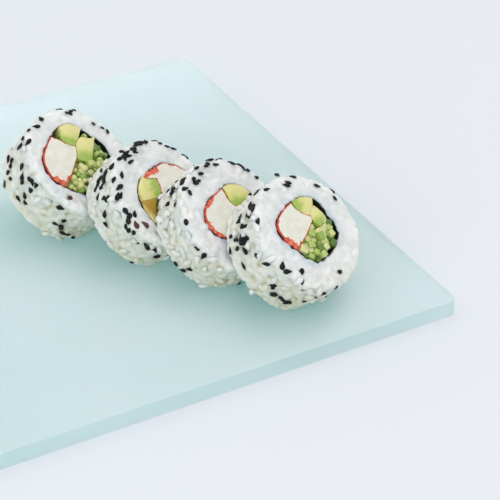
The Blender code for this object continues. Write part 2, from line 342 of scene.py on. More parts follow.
class Scatterer:
    """Copies small shapes to many places by Geometry Nodes, as one real mesh."""

    def __init__(self, name: str, shapes: list[Piece]) -> None:
        """Put the shapes in a collection and build the node tree once.

        Args:
            name: The name of the collection and of the tree.
            shapes: The shapes, in the order that placements name them.
        """
        self.shapes = bpy.data.collections.new(name)
        bpy.context.scene.collection.children.link(self.shapes)
        for shape in shapes:
            for holder in list(shape.users_collection):
                holder.objects.unlink(shape)
            self.shapes.objects.link(shape)
        self.tree = self._tree(name)

    def _tree(self, name: str) -> bpy.types.NodeTree:
        """Build the tree: a copy at each point, turned and sized, made real."""
        tree = bpy.data.node_groups.new(name, "GeometryNodeTree")
        tree.interface.new_socket("Geometry", in_out="INPUT", socket_type="NodeSocketGeometry")
        tree.interface.new_socket("Geometry", in_out="OUTPUT", socket_type="NodeSocketGeometry")
        add, link = tree.nodes.new, tree.links.new
        points, result = add("NodeGroupInput"), add("NodeGroupOutput")
        shapes = add("GeometryNodeCollectionInfo")
        shapes.inputs["Collection"].default_value = self.shapes
        shapes.inputs["Separate Children"].default_value = True
        shapes.inputs["Reset Children"].default_value = True
        copies = add("GeometryNodeInstanceOnPoints")
        copies.inputs["Pick Instance"].default_value = True
        real = add("GeometryNodeRealizeInstances")
        to_rotation = add("FunctionNodeEulerToRotation")
        values = {}
        for value, kind in (("turn", "FLOAT_VECTOR"), ("size", "FLOAT"), ("kind", "INT")):
            values[value] = add("GeometryNodeInputNamedAttribute")
            values[value].data_type = kind
            values[value].inputs["Name"].default_value = value
        link(points.outputs[0], copies.inputs["Points"])
        link(shapes.outputs[0], copies.inputs["Instance"])
        link(values["kind"].outputs["Attribute"], copies.inputs["Instance Index"])
        link(values["turn"].outputs["Attribute"], to_rotation.inputs[0])
        link(to_rotation.outputs[0], copies.inputs["Rotation"])
        link(values["size"].outputs["Attribute"], copies.inputs["Scale"])
        link(copies.outputs[0], real.inputs[0])
        link(real.outputs[0], result.inputs[0])
        return tree

    def scatter(self, name: str, placements: list[Placement]) -> Piece:
        """Make one mesh of copies.

        Args:
            name: The name of the new object.
            placements: Where the copies lie.

        Returns:
            The mesh object, with each copy's tone kept as an attribute.
        """
        mesh = bpy.data.meshes.new(name)
        mesh.from_pydata([item.place for item in placements], [], [])
        kinds = {"turn": "FLOAT_VECTOR", "size": "FLOAT", "kind": "INT", "tone": "FLOAT"}
        for value, kind in kinds.items():
            entries = mesh.attributes.new(value, kind, "POINT").data
            for entry, item in zip(entries, placements, strict=True):
                if value == "turn":
                    entry.vector = item.turn
                else:
                    entry.value = getattr(item, value)
        piece = bpy.data.objects.new(name, mesh)
        bpy.context.scene.collection.objects.link(piece)
        finish_with(piece, "NODES", node_group=self.tree)
        for value in ("turn", "size", "kind"):
            spent = piece.data.attributes.get(value)
            if spent is not None:
                piece.data.attributes.remove(spent)
        return piece

    def clear_away(self) -> None:
        """Remove the shapes, once everything is scattered."""
        for shape in list(self.shapes.objects):
            dismiss(shape)
        bpy.data.collections.remove(self.shapes)


# --- finishes ---------------------------------------------------------------------------


class Recipe:
    """A material under way: one Principled shader and the nodes that feed it."""

    def __init__(self, name: str, **plain: object) -> None:
        """Start a material.

        Args:
            name: The material's name.
            **plain: Values for the shader's own sockets, with _ for a space.
        """
        self.material = bpy.data.materials.new(name)
        self.material.use_nodes = True
        self.tree = self.material.node_tree
        self.shader = self.tree.nodes["Principled BSDF"]
        for socket, value in plain.items():
            full = (*value, 1.0) if socket.endswith("_Color") else value
            self.shader.inputs[socket.replace("_", " ")].default_value = full

    def add(self, kind: str, **inputs: object) -> bpy.types.Node:
        """Add a node.

        Args:
            kind: The node's type.
            **inputs: Values for its inputs, with _ for a space; colours have three parts.

        Returns:
            The node.
        """
        node = self.tree.nodes.new(kind)
        for socket, value in inputs.items():
            entry = node.inputs[socket.replace("_", " ")]
            wide = entry.type == "RGBA" and len(value) == 3
            entry.default_value = (*value, 1.0) if wide else value
        return node

    def group(self, effect: bpy.types.NodeTree, **inputs: object) -> bpy.types.Node:
        """Place a shared effect with its own values.

        Args:
            effect: The node group.
            **inputs: Values for the group's inputs, with _ for a space.

        Returns:
            The group node.
        """
        node = self.tree.nodes.new("ShaderNodeGroup")
        node.node_tree = effect
        for socket, value in inputs.items():
            entry = node.inputs[socket.replace("_", " ")]
            wide = entry.type == "RGBA" and len(value) == 3
            entry.default_value = (*value, 1.0) if wide else value
        return node

    def feed(self, source: bpy.types.NodeSocket, node: bpy.types.Node, socket: str) -> None:
        """Link an output to a named input."""
        self.tree.links.new(source, node.inputs[socket])

    def colour(self, source: bpy.types.NodeSocket) -> None:
        """Let an output be the base colour."""
        self.feed(source, self.shader, "Base Color")

    def relief(self, source: bpy.types.NodeSocket, depth: float, strength: float) -> None:
        """Raise the surface by a height.

        Args:
            source: The output that holds the height.
            depth: The height's full depth in metres.
            strength: The share of it that shows.
        """
        bump = self.add("ShaderNodeBump", Strength=strength, Distance=depth)
        self.feed(source, bump, "Height")
        self.feed(bump.outputs["Normal"], self.shader, "Normal")

    def mix(
        self,
        share: bpy.types.NodeSocket,
        first: bpy.types.NodeSocket | Colour,
        second: bpy.types.NodeSocket | Colour,
    ) -> bpy.types.NodeSocket:
        """Mix two colours.

        Args:
            share: The output that holds the second colour's share.
            first: A colour, or the output that holds one.
            second: A colour, or the output that holds one.

        Returns:
            The mixed colour's output.
        """
        node = self.tree.nodes.new("ShaderNodeMix")
        node.data_type = "RGBA"
        self.feed(share, node, "Factor")
        for entry, colour in ((node.inputs[6], first), (node.inputs[7], second)):
            if isinstance(colour, bpy.types.NodeSocket):
                self.tree.links.new(colour, entry)
            else:
                entry.default_value = (*colour, 1.0)
        return node.outputs[2]

    def ramp(
        self, source: bpy.types.NodeSocket, stops: list[tuple[float, Colour]]
    ) -> bpy.types.NodeSocket:
        """Turn a value into a colour.

        Args:
            source: The output that holds the value.
            stops: The colours, each with the value where it stands.

        Returns:
            The colour's output.
        """
        node = self.tree.nodes.new("ShaderNodeValToRGB")
        elements = node.color_ramp.elements
        while len(elements) < len(stops):
            elements.new(0.5)
        for element, (position, colour) in zip(elements, stops, strict=True):
            element.position = position
            element.color = (*colour, 1.0)
        self.feed(source, node, "Fac")
        return node.outputs["Color"]


class Effects:
    """Node groups that more than one finish uses."""

    def __init__(self) -> None:
        """Build each group once."""
        self.mottle = self._mottle()
        self.grain = self._grain()

    @staticmethod
    def _start(name: str, sockets: list[tuple[str, str, str]]) -> bpy.types.NodeTree:
        """Start a group with named inputs and outputs.

        Args:
            name: The group's name.
            sockets: Each socket's name, INPUT or OUTPUT, and its type.

        Returns:
            The node tree.
        """
        tree = bpy.data.node_groups.new(name, "ShaderNodeTree")
        for socket, side, kind in sockets:
            tree.interface.new_socket(socket, in_out=side, socket_type=kind)
        return tree

    def _mottle(self) -> bpy.types.NodeTree:
        """Two colours in soft patches, as moist food has."""
        tree = self._start(
            "mottle",
            [
                ("First", "INPUT", "NodeSocketColor"),
                ("Second", "INPUT", "NodeSocketColor"),
                ("Scale", "INPUT", "NodeSocketFloat"),
                ("Contrast", "INPUT", "NodeSocketFloat"),
                ("Colour", "OUTPUT", "NodeSocketColor"),
                ("Mask", "OUTPUT", "NodeSocketFloat"),
            ],
        )
        add, link = tree.nodes.new, tree.links.new
        given, result = add("NodeGroupInput"), add("NodeGroupOutput")
        where = add("ShaderNodeTexCoord")
        patches = add("ShaderNodeTexNoise")
        patches.inputs["Detail"].default_value = 3.0
        contrast = add("ShaderNodeMapRange")
        contrast.inputs["From Min"].default_value = 0.3
        contrast.inputs["From Max"].default_value = 0.7
        share = add("ShaderNodeMath")
        share.operation = "MULTIPLY"
        mix = add("ShaderNodeMix")
        mix.data_type = "RGBA"
        link(where.outputs["Object"], patches.inputs["Vector"])
        link(given.outputs["Scale"], patches.inputs["Scale"])
        link(patches.outputs["Fac"], contrast.inputs["Value"])
        link(contrast.outputs["Result"], share.inputs[0])
        link(given.outputs["Contrast"], share.inputs[1])
        link(share.outputs[0], mix.inputs["Factor"])
        link(given.outputs["First"], mix.inputs[6])
        link(given.outputs["Second"], mix.inputs[7])
        link(mix.outputs[2], result.inputs["Colour"])
        link(share.outputs[0], result.inputs["Mask"])
        return tree

    def _grain(self) -> bpy.types.NodeTree:
        """A fine uneven height."""
        tree = self._start(
            "fine grain",
            [
                ("Scale", "INPUT", "NodeSocketFloat"),
                ("Detail", "INPUT", "NodeSocketFloat"),
                ("Height", "OUTPUT", "NodeSocketFloat"),
            ],
        )
        add, link = tree.nodes.new, tree.links.new
        given, result = add("NodeGroupInput"), add("NodeGroupOutput")
        where = add("ShaderNodeTexCoord")
        bumps = add("ShaderNodeTexNoise")
        link(where.outputs["Object"], bumps.inputs["Vector"])
        link(given.outputs["Scale"], bumps.inputs["Scale"])
        link(given.outputs["Detail"], bumps.inputs["Detail"])
        link(bumps.outputs["Fac"], result.inputs["Height"])
        return tree


@dataclass(frozen=True)
class RiceFinish:
    """Moist cooked rice: white, a little clear, with painted grey-green shade in its depths."""

    white: Colour = tint(240, 240, 240)
    clear: Colour = tint(217, 221, 221)
    # Painted shade: the colour of the shade low down, in creases and on the sides, mixed with damp patches.
    damp: Colour = tint(210, 202, 166)
    # Painted shade: bluish grey where the rice dips towards the nori.
    sheer: Colour = tint(200, 211, 219)
    roughness: float = 0.33
    glow: float = 0.95
    glow_depth: float = 2.6 * MM

    def build(self, effects: Effects) -> bpy.types.Material:
        """Return the material.

        One attribute holds painted shade low down, in creases and on the sides, mixed with
        damp patches; the other holds painted bluish-grey shade where the rice dips to the nori.
        """
        recipe = Recipe(
            "rice",
            Roughness=self.roughness,
            Subsurface_Weight=self.glow,
            Subsurface_Radius=(1.0, 1.0, 0.85),
            Subsurface_Scale=self.glow_depth,
        )
        patches = recipe.group(
            effects.mottle, First=self.white, Second=self.clear, Scale=180.0, Contrast=1.0
        )
        # Painted shade low down, in creases and on the sides, mixed with damp patches.
        wet_and_shade = recipe.add("ShaderNodeAttribute")
        wet_and_shade.attribute_name = "damp"
        damp = recipe.mix(wet_and_shade.outputs["Fac"], patches.outputs["Colour"], self.damp)
        # Painted shade: bluish grey where the rice dips towards the nori.
        bore_rim_shade_node = recipe.add("ShaderNodeAttribute")
        bore_rim_shade_node.attribute_name = "sheer"
        recipe.colour(recipe.mix(bore_rim_shade_node.outputs["Fac"], damp, self.sheer))
        fine = recipe.group(effects.grain, Scale=1500.0, Detail=2.0)
        recipe.relief(fine.outputs["Height"], 0.15 * MM, 0.35)
        return recipe.material


@dataclass(frozen=True)
class SesameFinish:
    """Black sesame with a dull shine."""

    black: Colour = tint(12, 12, 14)
    brown: Colour = tint(78, 56, 42)
    roughness: float = 0.45

    def build(self, effects: Effects) -> bpy.types.Material:
        """Return the material; a seed's tone turns it from black to brown."""
        recipe = Recipe("black sesame", Roughness=self.roughness, Specular_IOR_Level=0.25)
        tone = recipe.add("ShaderNodeAttribute")
        tone.attribute_name = "tone"
        recipe.colour(recipe.ramp(tone.outputs["Fac"], [(0.86, self.black), (0.97, self.brown)]))
        fine = recipe.group(effects.grain, Scale=2400.0, Detail=2.0)
        recipe.relief(fine.outputs["Height"], 0.1 * MM, 0.5)
        return recipe.material


@dataclass(frozen=True)
class NoriFinish:
    """Damp toasted seaweed."""

    dark: Colour = tint(9, 13, 11)
    green: Colour = tint(24, 34, 26)
    roughness: float = 0.6

    def build(self, effects: Effects) -> bpy.types.Material:
        """Return the material."""
        recipe = Recipe("nori", Roughness=self.roughness)
        patches = recipe.group(
            effects.mottle, First=self.dark, Second=self.green, Scale=420.0, Contrast=0.8
        )
        recipe.colour(patches.outputs["Colour"])
        fine = recipe.group(effects.grain, Scale=1800.0, Detail=4.0)
        recipe.relief(fine.outputs["Height"], 0.2 * MM, 0.7)
        return recipe.material


@dataclass(frozen=True)
class CrabFinish:
    """Crab stick: layered white flesh in a thin red skin."""

    flesh: Colour = tint(233, 234, 223)
    blush: Colour = tint(224, 218, 205)
    red: Colour = tint(198, 52, 34)
    orange: Colour = tint(234, 122, 88)
    roughness: float = 0.38

    def build(self, effects: Effects) -> bpy.types.Material:
        """Return the material.

        The piece's skin attribute says where it is red, and its fold attribute where the
        skin is stretched thin and orange.
        """
        recipe = Recipe(
            "crab stick",
            Roughness=self.roughness,
            Subsurface_Weight=0.3,
            Subsurface_Radius=(1.0, 0.7, 0.55),
            Subsurface_Scale=1.2 * MM,
        )
        flesh = recipe.group(
            effects.mottle, First=self.flesh, Second=self.blush, Scale=300.0, Contrast=1.0
        )
        fold = recipe.add("ShaderNodeAttribute")
        fold.attribute_name = "fold"
        skin = recipe.mix(fold.outputs["Fac"], self.red, self.orange)
        where = recipe.add("ShaderNodeAttribute")
        where.attribute_name = "skin"
        recipe.colour(recipe.mix(where.outputs["Fac"], flesh.outputs["Colour"], skin))
        fine = recipe.group(effects.grain, Scale=1300.0, Detail=3.0)
        recipe.relief(fine.outputs["Height"], 0.15 * MM, 0.5)
        return recipe.material


@dataclass(frozen=True)
class AvocadoFinish:
    """Ripe avocado, from yellow at the stone to green under the skin, with painted amber shade at its low
    end.
    """

    # Painted shade: amber stands for the shade that the strip lies in.
    amber_shade: Colour = tint(174, 138, 42)
    yellow: Colour = tint(226, 219, 150)
    middle: Colour = tint(212, 212, 128)
    green: Colour = tint(160, 188, 84)
    roughness: float = 0.35

    def build(self, effects: Effects) -> bpy.types.Material:
        """Return the material; the piece's ripe attribute runs from 0 to 1, and lower values give painted
        amber shade.
        """
        recipe = Recipe(
            "avocado",
            Roughness=self.roughness,
            Subsurface_Weight=0.25,
            Subsurface_Radius=(1.0, 1.0, 0.4),
            Subsurface_Scale=1.0 * MM,
        )
        ripe = recipe.add("ShaderNodeAttribute")
        ripe.attribute_name = "ripe"
        patches = recipe.group(
            effects.mottle,
            First=(0.0, 0.0, 0.0),
            Second=(1.0, 1.0, 1.0),
            Scale=330.0,
            Contrast=1.0,
        )
        uneven = recipe.add("ShaderNodeMapRange", To_Min=-0.1, To_Max=0.1)
        recipe.feed(patches.outputs["Mask"], uneven, "Value")
        total = recipe.add("ShaderNodeMath")
        total.operation = "ADD"
        recipe.tree.links.new(ripe.outputs["Fac"], total.inputs[0])
        recipe.tree.links.new(uneven.outputs["Result"], total.inputs[1])
        # The amber stop is painted shade.
        stops = [
            (0.02, self.amber_shade), (0.3, self.yellow), (0.44, self.yellow), (0.62, self.middle),
            (0.82, self.green),
        ]
        recipe.colour(recipe.ramp(total.outputs[0], stops))
        fine = recipe.group(effects.grain, Scale=900.0, Detail=3.0)
        recipe.relief(fine.outputs["Height"], 0.2 * MM, 0.5)
        return recipe.material


@dataclass(frozen=True)
class CucumberFinish:
    """Cucumber flesh, pale and wet, with green where the peel was near, and painted deep-green shade on the
    core.
    """

    pale: Colour = tint(216, 217, 152)
    green: Colour = tint(160, 187, 92)
    # Deep green near the peel, and the painted shade of the core between the sticks.
    deep_green_and_shade: Colour = tint(86, 120, 42)
    roughness: float = 0.25

    def build(self, effects: Effects) -> bpy.types.Material:
        """Return the material; a stick's tone says how near the peel it grew."""
        recipe = Recipe(
            "cucumber",
            Roughness=self.roughness,
            Subsurface_Weight=0.45,
            Subsurface_Radius=(0.8, 1.0, 0.5),
            Subsurface_Scale=2.0 * MM,
        )
        tone = recipe.add("ShaderNodeAttribute")
        tone.attribute_name = "tone"
        stops = [(0.1, self.pale), (0.6, self.green), (1.0, self.deep_green_and_shade)]
        colour = recipe.ramp(tone.outputs["Fac"], stops)
        recipe.colour(colour)
        fine = recipe.group(effects.grain, Scale=1100.0, Detail=2.0)
        recipe.relief(fine.outputs["Height"], 0.2 * MM, 0.5)
        return recipe.material


@dataclass(frozen=True)
class GlassFinish:
    """Satin glass, which turns aqua where light comes a long way through it, with a painted teal glow and a
    painted sheen.
    """

    near: Colour = (0.84, 0.85, 0.87)
    # Painted sheen: the paler colour of the face towards the back.
    far: Colour = (0.99, 0.96, 0.99)
    streak: Colour = (0.93, 0.90, 0.935)
    roughness: float = 0.5
    clearness: float = 0.6
    aqua: Colour = (0.1, 0.85, 0.77)
    depth: float = 14.0
    # Painted glow: a faint teal emission stands for light scattered through the glass into the shade of the
    # slices.
    painted_glow: Colour = (0.08, 0.8, 0.65)
    painted_glow_strength: float = 0.052
    # Where the painted sheen starts and where it is full, along Y.
    painted_sheen_span: tuple[float, float] = (20 * MM, 120 * MM)

    def build(self, effects: Effects) -> bpy.types.Material:
        """Return the material; a painted sheen makes its face paler towards the back."""
        # Painted glow: the emission below is no lamp; it lightens the glass's shade to teal.
        recipe = Recipe(
            "satin glass",
            Roughness=self.roughness,
            Transmission_Weight=self.clearness,
            IOR=1.5,
            Emission_Color=self.painted_glow,
            Emission_Strength=self.painted_glow_strength,
        )
        where = recipe.add("ShaderNodeTexCoord")
        parts = recipe.add("ShaderNodeSeparateXYZ")
        recipe.feed(where.outputs["Object"], parts, "Vector")
        # Painted sheen: the face turns paler towards the back.
        back = recipe.add(
            "ShaderNodeMapRange", From_Min=self.painted_sheen_span[0], From_Max=self.painted_sheen_span[1]
        )
        recipe.feed(parts.outputs["Y"], back, "Value")
        patches = recipe.group(
            effects.mottle, First=self.near, Second=self.streak, Scale=16.0, Contrast=0.7
        )
        recipe.colour(recipe.mix(back.outputs["Result"], patches.outputs["Colour"], self.far))
        body = recipe.add("ShaderNodeVolumeAbsorption", Color=self.aqua, Density=self.depth)
        output = recipe.tree.nodes["Material Output"]
        recipe.feed(body.outputs["Volume"], output, "Volume")
        return recipe.material


@dataclass
class Larder:
    """Every finish of the dish, built once."""

    effects: Effects = field(default_factory=Effects)

    def __post_init__(self) -> None:
        """Build the materials."""
        self.rice = RiceFinish().build(self.effects)
        self.sesame = SesameFinish().build(self.effects)
        self.nori = NoriFinish().build(self.effects)
        self.crab = CrabFinish().build(self.effects)
        self.avocado = AvocadoFinish().build(self.effects)
        self.cucumber = CucumberFinish().build(self.effects)
        self.glass = GlassFinish().build(self.effects)


# --- the slices -------------------------------------------------------------------------


@dataclass(frozen=True)
class Streak:
    """Sesame seeds that lie in a short row on a slice.

    A spot is given from the slice's middle, in degrees round its axis and up towards the
    cut face.
    """

    start: tuple[float, float]
    end: tuple[float, float]
    seeds: int
    brown: bool = False


@dataclass(frozen=True)
class Pleat:
    """A stretch of a crab stick's rim where the skin is bunched, in degrees round it."""

    start: float
    end: float
    width: float  # millimetres


@dataclass(frozen=True)
class Slice:
    """One slice: its frame in the row, and how its pieces differ from the others'."""

    number: int
    place: tuple[float, float, float]  # millimetres, its middle above the plate's top
    lean: float  # degrees between its axis and the vertical
    heading: float  # degrees about the vertical
    length: float  # millimetres along its axis
    looseness: float  # how far its grains stand out, 0 to 1
    melting: int  # how far its grains have run together, in rounds of smoothing
    ragged_way: float  # degrees, the side where its grains come loose
    pleats: tuple[Pleat, ...]
    green_a: float  # degrees, the way that each avocado strip turns green
    green_b: float
    amber_shade: float  # how far painted amber shade darkens the second strip, 0 to 1
    stick_edge: float  # millimetres, how round its cucumber sticks are
    stick_size: float
    streaks: tuple[Streak, ...]

    @property
    def matrix(self) -> Matrix:
        """The slice's frame in the row."""
        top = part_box("plate")[1].z
        x, y, above = (value * MM for value in self.place)
        turn = Euler((math.radians(self.lean), 0.0, math.radians(self.heading)))
        return Matrix.Translation((x, y, top + above)) @ turn.to_matrix().to_4x4()

    @property
    def half(self) -> float:
        """Half the slice's length in metres."""
        return self.length * MM / 2

    def raggedness(self, place: Vector) -> float:
        """How ragged the rice is at a place, 0 to 1."""
        turned = math.atan2(place.y, place.x) - math.radians(self.ragged_way)
        return self.looseness * (0.45 + 0.55 * math.cos(turned))

    def node(self, part: Part) -> str:
        """Name one of the slice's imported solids."""
        return f"roll_{self.number}_{part.value}"

    def copy_of(self, part: Part, name: str, flat: bool = False) -> Piece:
        """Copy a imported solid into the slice's own frame, with its corners merged.

        Args:
            part: Which solid.
            name: The name of the copy.
            flat: Whether triangles that lie in one plane become one face.

        Returns:
            The copy.
        """
        mesh = frame["nodes"][self.node(part)].data.copy()
        mesh.name = name
        mesh.materials.clear()
        mesh.transform(self.matrix.inverted())
        piece = bpy.data.objects.new(name, mesh)
        bpy.context.scene.collection.objects.link(piece)
        activate(piece)
        bpy.ops.mesh.customdata_custom_splitnormals_clear()
        with editing(piece):
            bpy.ops.mesh.select_all(action="SELECT")
            bpy.ops.mesh.remove_doubles(threshold=MERGE)
            if flat:
                bpy.ops.mesh.dissolve_limited(angle_limit=FLAT_ANGLE)
        return piece

    def skin_of(self, part: Part) -> BVHTree:
        """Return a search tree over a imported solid, in the slice's own frame."""
        piece = self.copy_of(part, "outline")
        skin = surface_of(piece)
        dismiss(piece)
        return skin

    def set_in_place(self, piece: Piece) -> Piece:
        """Move a piece's mesh from the slice's own frame to its place in the row."""
        piece.data.transform(self.matrix)
        piece.data.update()
        return piece


@dataclass(frozen=True)
class Bed:
    """One layer of grains, or of lumps, in the skin of the rice. Lengths are in metres."""

    size: float
    pitch: float
    depth: tuple[float, float]  # of a grain's middle, under the skin
    face_depth: tuple[float, float]  # the same on the cut faces
    tilt: float  # degrees


@dataclass
class RiceCoat:
    """The pressed coat of rice: a core with grains in its skin, and grains on it."""

    slice_: Slice
    grains: Scatterer
    neighbours: list[BVHTree]
    seed: int
    beds: tuple[Bed, ...] = (
        Bed(1.06, 2.75 * MM, (1.4 * MM, 2.0 * MM), (1.3 * MM, 1.9 * MM), 6.0),
        Bed(1.7, 6.5 * MM, (1.9 * MM, 2.6 * MM), (2.1 * MM, 2.6 * MM), 8.0),
        Bed(1.05, 3.8 * MM, (0.9 * MM, 1.7 * MM), (1.1 * MM, 1.8 * MM), 10.0),
    )
    core_depth: float = 1.5 * MM
    face_core_depth: float = 0.7 * MM
    core_voxel: float = 0.8 * MM
    voxel: float = 0.41 * MM
    bore_clearance: float = 0.9 * MM
    bore_reach: float = 0.1 * MM
    overhang: float = 0.9 * MM

    def __post_init__(self) -> None:
        """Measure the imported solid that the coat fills."""
        self.random = random.Random(self.seed)
        self.solid = self.slice_.copy_of(Part.RICE, "rice_outline")
        self.skin = surface_of(self.solid)
        nori = self.slice_.copy_of(Part.NORI, "nori_outline")
        self.nori = surface_of(nori)
        self.bore_middle = sum((v.co for v in nori.data.vertices), Vector()) / len(nori.data.vertices)
        dismiss(nori)

    def to_nori(self, place: Vector) -> float:
        """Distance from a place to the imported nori."""
        return self.nori.find_nearest(place)[3]

    def spots(self, pitch: float) -> list[tuple[Vector, Vector]]:
        """Spread spots over the skin, no closer to each other than a pitch.

        Args:
            pitch: The least distance between spots.

        Returns:
            Each spot's place and outward direction; the bore's wall has none.
        """
        mesh = self.solid.data
        mesh.calc_loop_triangles()
        triangles = list(mesh.loop_triangles)
        corners = [[mesh.vertices[k].co for k in t.vertices] for t in triangles]
        areas = [t.area for t in triangles]
        tries = int(sum(areas) / pitch**2 * 6)
        taken: dict[tuple[int, int, int], list[Vector]] = {}
        found = []
        for chosen in self.random.choices(range(len(triangles)), areas, k=tries):
            u, v = self.random.random(), self.random.random()
            if u + v > 1.0:
                u, v = 1.0 - u, 1.0 - v
            a, b, c = corners[chosen]
            spot = a + (b - a) * u + (c - a) * v
            normal = triangles[chosen].normal.copy()
            if self.to_nori(spot) < self.bore_clearance:
                continue
            cell = tuple(int(math.floor(value / pitch)) for value in spot)
            around = [
                other
                for dx in (-1, 0, 1)
                for dy in (-1, 0, 1)
                for dz in (-1, 0, 1)
                for other in taken.get((cell[0] + dx, cell[1] + dy, cell[2] + dz), ())
            ]
            if all((spot - other).length > pitch for other in around):
                taken.setdefault(cell, []).append(spot)
                found.append((spot, normal))
        return found

    def grain(self, place: Vector, normal: Vector, turn: float, tilt: float) -> Placement:
        """Place one grain of any kind.

        Args:
            place: Its middle.
            normal: The direction that its flat side faces.
            turn: Its turn about that direction, in radians.
            tilt: How far its end is lifted, in degrees.

        Returns:
            The placement.
        """
        return Placement(
            place=place,
            turn=lying(normal, turn, math.radians(tilt)),
            size=self.random.uniform(0.88, 1.1),
            kind=self.random.choice(list(GrainKind)).value,
            tone=self.random.random(),
        )

    def bedded_grains(self) -> list[Placement]:
        """Grains that lie in the skin, layer over layer."""
        placements = []
        for bed in self.beds:
            for spot, normal in self.spots(bed.pitch):
                flat = smooth_step(0.6, 0.9, abs(normal.z))
                side, face = self.random.uniform(*bed.depth), self.random.uniform(*bed.face_depth)
                tilt = self.random.gauss(0.0, bed.tilt * (1.0 - 0.75 * flat))
                turn = self.random.uniform(0.0, math.tau)
                depth = side + (face - side) * flat
                grain = self.grain(spot - normal * depth, normal, turn, tilt)
                grain.size *= bed.size
                placements.append(grain)
        return placements

    def rim_grains(self) -> list[Placement]:
        """Grains round the bore's two rims, which lean over the edge of the nori."""
        placements = []
        shift = self.slice_.number * 4.0
        for side in (1.0, -1.0):
            angle = 0.0
            while angle < math.tau:
                way = Vector((math.cos(angle), math.sin(angle), 0.0))
                middle = Vector((self.bore_middle.x, self.bore_middle.y, 0.0))
                wall = self.skin.ray_cast(middle, way)[0]
                cover = noise.noise(way * 2.6 + Vector((shift, side, 0.0)))
                outward = (0.8 - 1.7 * cover + self.random.uniform(-0.3, 0.3)) * MM
                sink = self.slice_.half - self.random.uniform(1.4, 2.0) * MM
                place = wall + way * outward
                place.z = side * sink
                turn = angle + math.pi / 2 + self.random.gauss(0.0, 0.3)
                up = Vector((0.0, 0.0, side))
                placements.append(self.grain(place, up, turn * side, self.random.gauss(0.0, 4.0)))
                angle += self.random.uniform(2.6, 4.4) * MM / (wall - middle).length
        return placements

    def press(self, piece: Piece, reach: float) -> None:
        """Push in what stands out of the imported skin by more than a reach.

        Args:
            piece: The object to press.
            reach: How far it may stand out.
        """

        def pressed(place: Vector, _: Vector) -> Vector:
            near, normal, _, distance = self.skin.find_nearest(place)
            over = (place - near).dot(normal)
            if over > reach and distance > reach and self.to_nori(place) > self.bore_clearance:
                return near + normal * reach
            return place

        move_corners(piece, pressed)

    def clear_bore(self, piece: Piece) -> None:
        """Keep the rice behind the nori, which it only leans over at the cut faces.

        Args:
            piece: The mass of rice.
        """

        def cleared(place: Vector, _: Vector) -> Vector:
            near, normal, _, _ = self.skin.find_nearest(place)
            over = (place - near).dot(normal) - self.bore_reach
            inside = abs(place.z) < self.slice_.half - self.overhang
            if inside and over > 0.0 and self.to_nori(place) < 2.0 * MM:
                return place - normal * over
            return place

        move_corners(piece, cleared)

    def core(self) -> Piece:
        """The core under the grains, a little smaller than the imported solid."""
        piece = self.solid.copy()
        piece.data = self.solid.data.copy()
        bpy.context.scene.collection.objects.link(piece)
        finish_with(piece, "REMESH", mode="VOXEL", voxel_size=self.core_voxel)
        bore_swell = 0.1 * MM
        shift = Vector((self.slice_.number * 3.0, 5.0, 2.0))

        def shrunk(place: Vector, normal: Vector) -> Vector:
            away = smooth_step(0.8 * MM, 2.2 * MM, self.to_nori(place))
            lumps = noise.noise(place / (7.0 * MM) + shift) * 0.5 * MM
            flat = smooth_step(0.5, 0.95, abs(normal.z))
            depth = self.core_depth + (self.face_core_depth - self.core_depth) * flat
            over = smooth_step(self.slice_.half - 2.0 * MM, self.slice_.half, abs(place.z))
            uneven = 0.5 + 0.5 * noise.noise(place / (3.5 * MM) - shift)
            swell = bore_swell + over * uneven * 0.3 * MM
            level = Vector((normal.x, normal.y, 0.0))
            lip = over * (1.0 - smooth_step(0.5 * MM, 3.0 * MM, self.to_nori(place))) * 0.7 * MM
            moved = place - normal * (depth + lumps) * away + level * swell * (1.0 - away)
            moved.z -= math.copysign(lip, place.z)
            return moved

        move_corners(piece, shrunk)
        return piece

    def build_mass(self) -> Piece:
        """The pressed mass of rice: core and bedded grains grown into one skin."""
        placements = self.bedded_grains() + self.rim_grains()
        bedded = self.grains.scatter("bedded_grains", placements)
        self.press(bedded, 0.05 * MM)
        piece = join([self.core(), bedded], f"rice_{self.slice_.number}")
        finish_with(piece, "REMESH", mode="VOXEL", voxel_size=self.voxel)
        finish_with(piece, "SMOOTH", factor=0.5, iterations=self.slice_.melting)
        self.clear_bore(piece)
        piece.data.shade_smooth()
        self.paint_shade_and_damp(piece)
        return piece

    def build_grains(self) -> Piece:
        """Loose grains that stick to the outside of the mass."""
        placements = []
        loose = self.slice_.looseness
        plate_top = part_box("plate")[1].z
        for spot, normal in self.spots(3.9 * MM):
            world = self.slice_.matrix @ spot
            clear = world.z - plate_top > 1.8 * MM and all(
                tree.find_nearest(world)[3] > 1.6 * MM for tree in self.neighbours
            )
            ragged = self.slice_.raggedness(spot)
            on_face = abs(normal.z) > 0.8
            if not clear or on_face or self.random.random() > 0.15 * loose + 0.5 * ragged:
                continue
            stands = self.random.uniform(-0.6, -0.35 + 0.75 * ragged * loose) * MM
            tilt = self.random.gauss(0.0, 5.0 + 18.0 * ragged)
            turn = self.random.uniform(0.0, math.tau)
            placements.append(self.grain(spot + normal * stands, normal, turn, tilt))
        piece = self.grains.scatter(f"rice_grains_{self.slice_.number}", placements)
        self.press(piece, (0.5 + 0.9 * loose) * MM)
        piece.data.shade_smooth()
        self.paint_shade_and_damp(piece)
        return piece

    def paint_shade_and_damp(self, piece: Piece) -> None:
        """Paint shade on the rice: low down, in creases, on the sides and near the nori; damp in patches."""
        matrix = self.slice_.matrix
        plate_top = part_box("plate")[1].z

        def shade_and_wetness(place: Vector) -> float:
            height = (matrix @ place).z - plate_top
            # Painted shade: darker near the plate, where shade falls.
            low = 1.0 - smooth_step(3.0 * MM, 30.0 * MM, height)
            patch = 0.5 + 0.5 * noise.noise(place / (4.5 * MM))
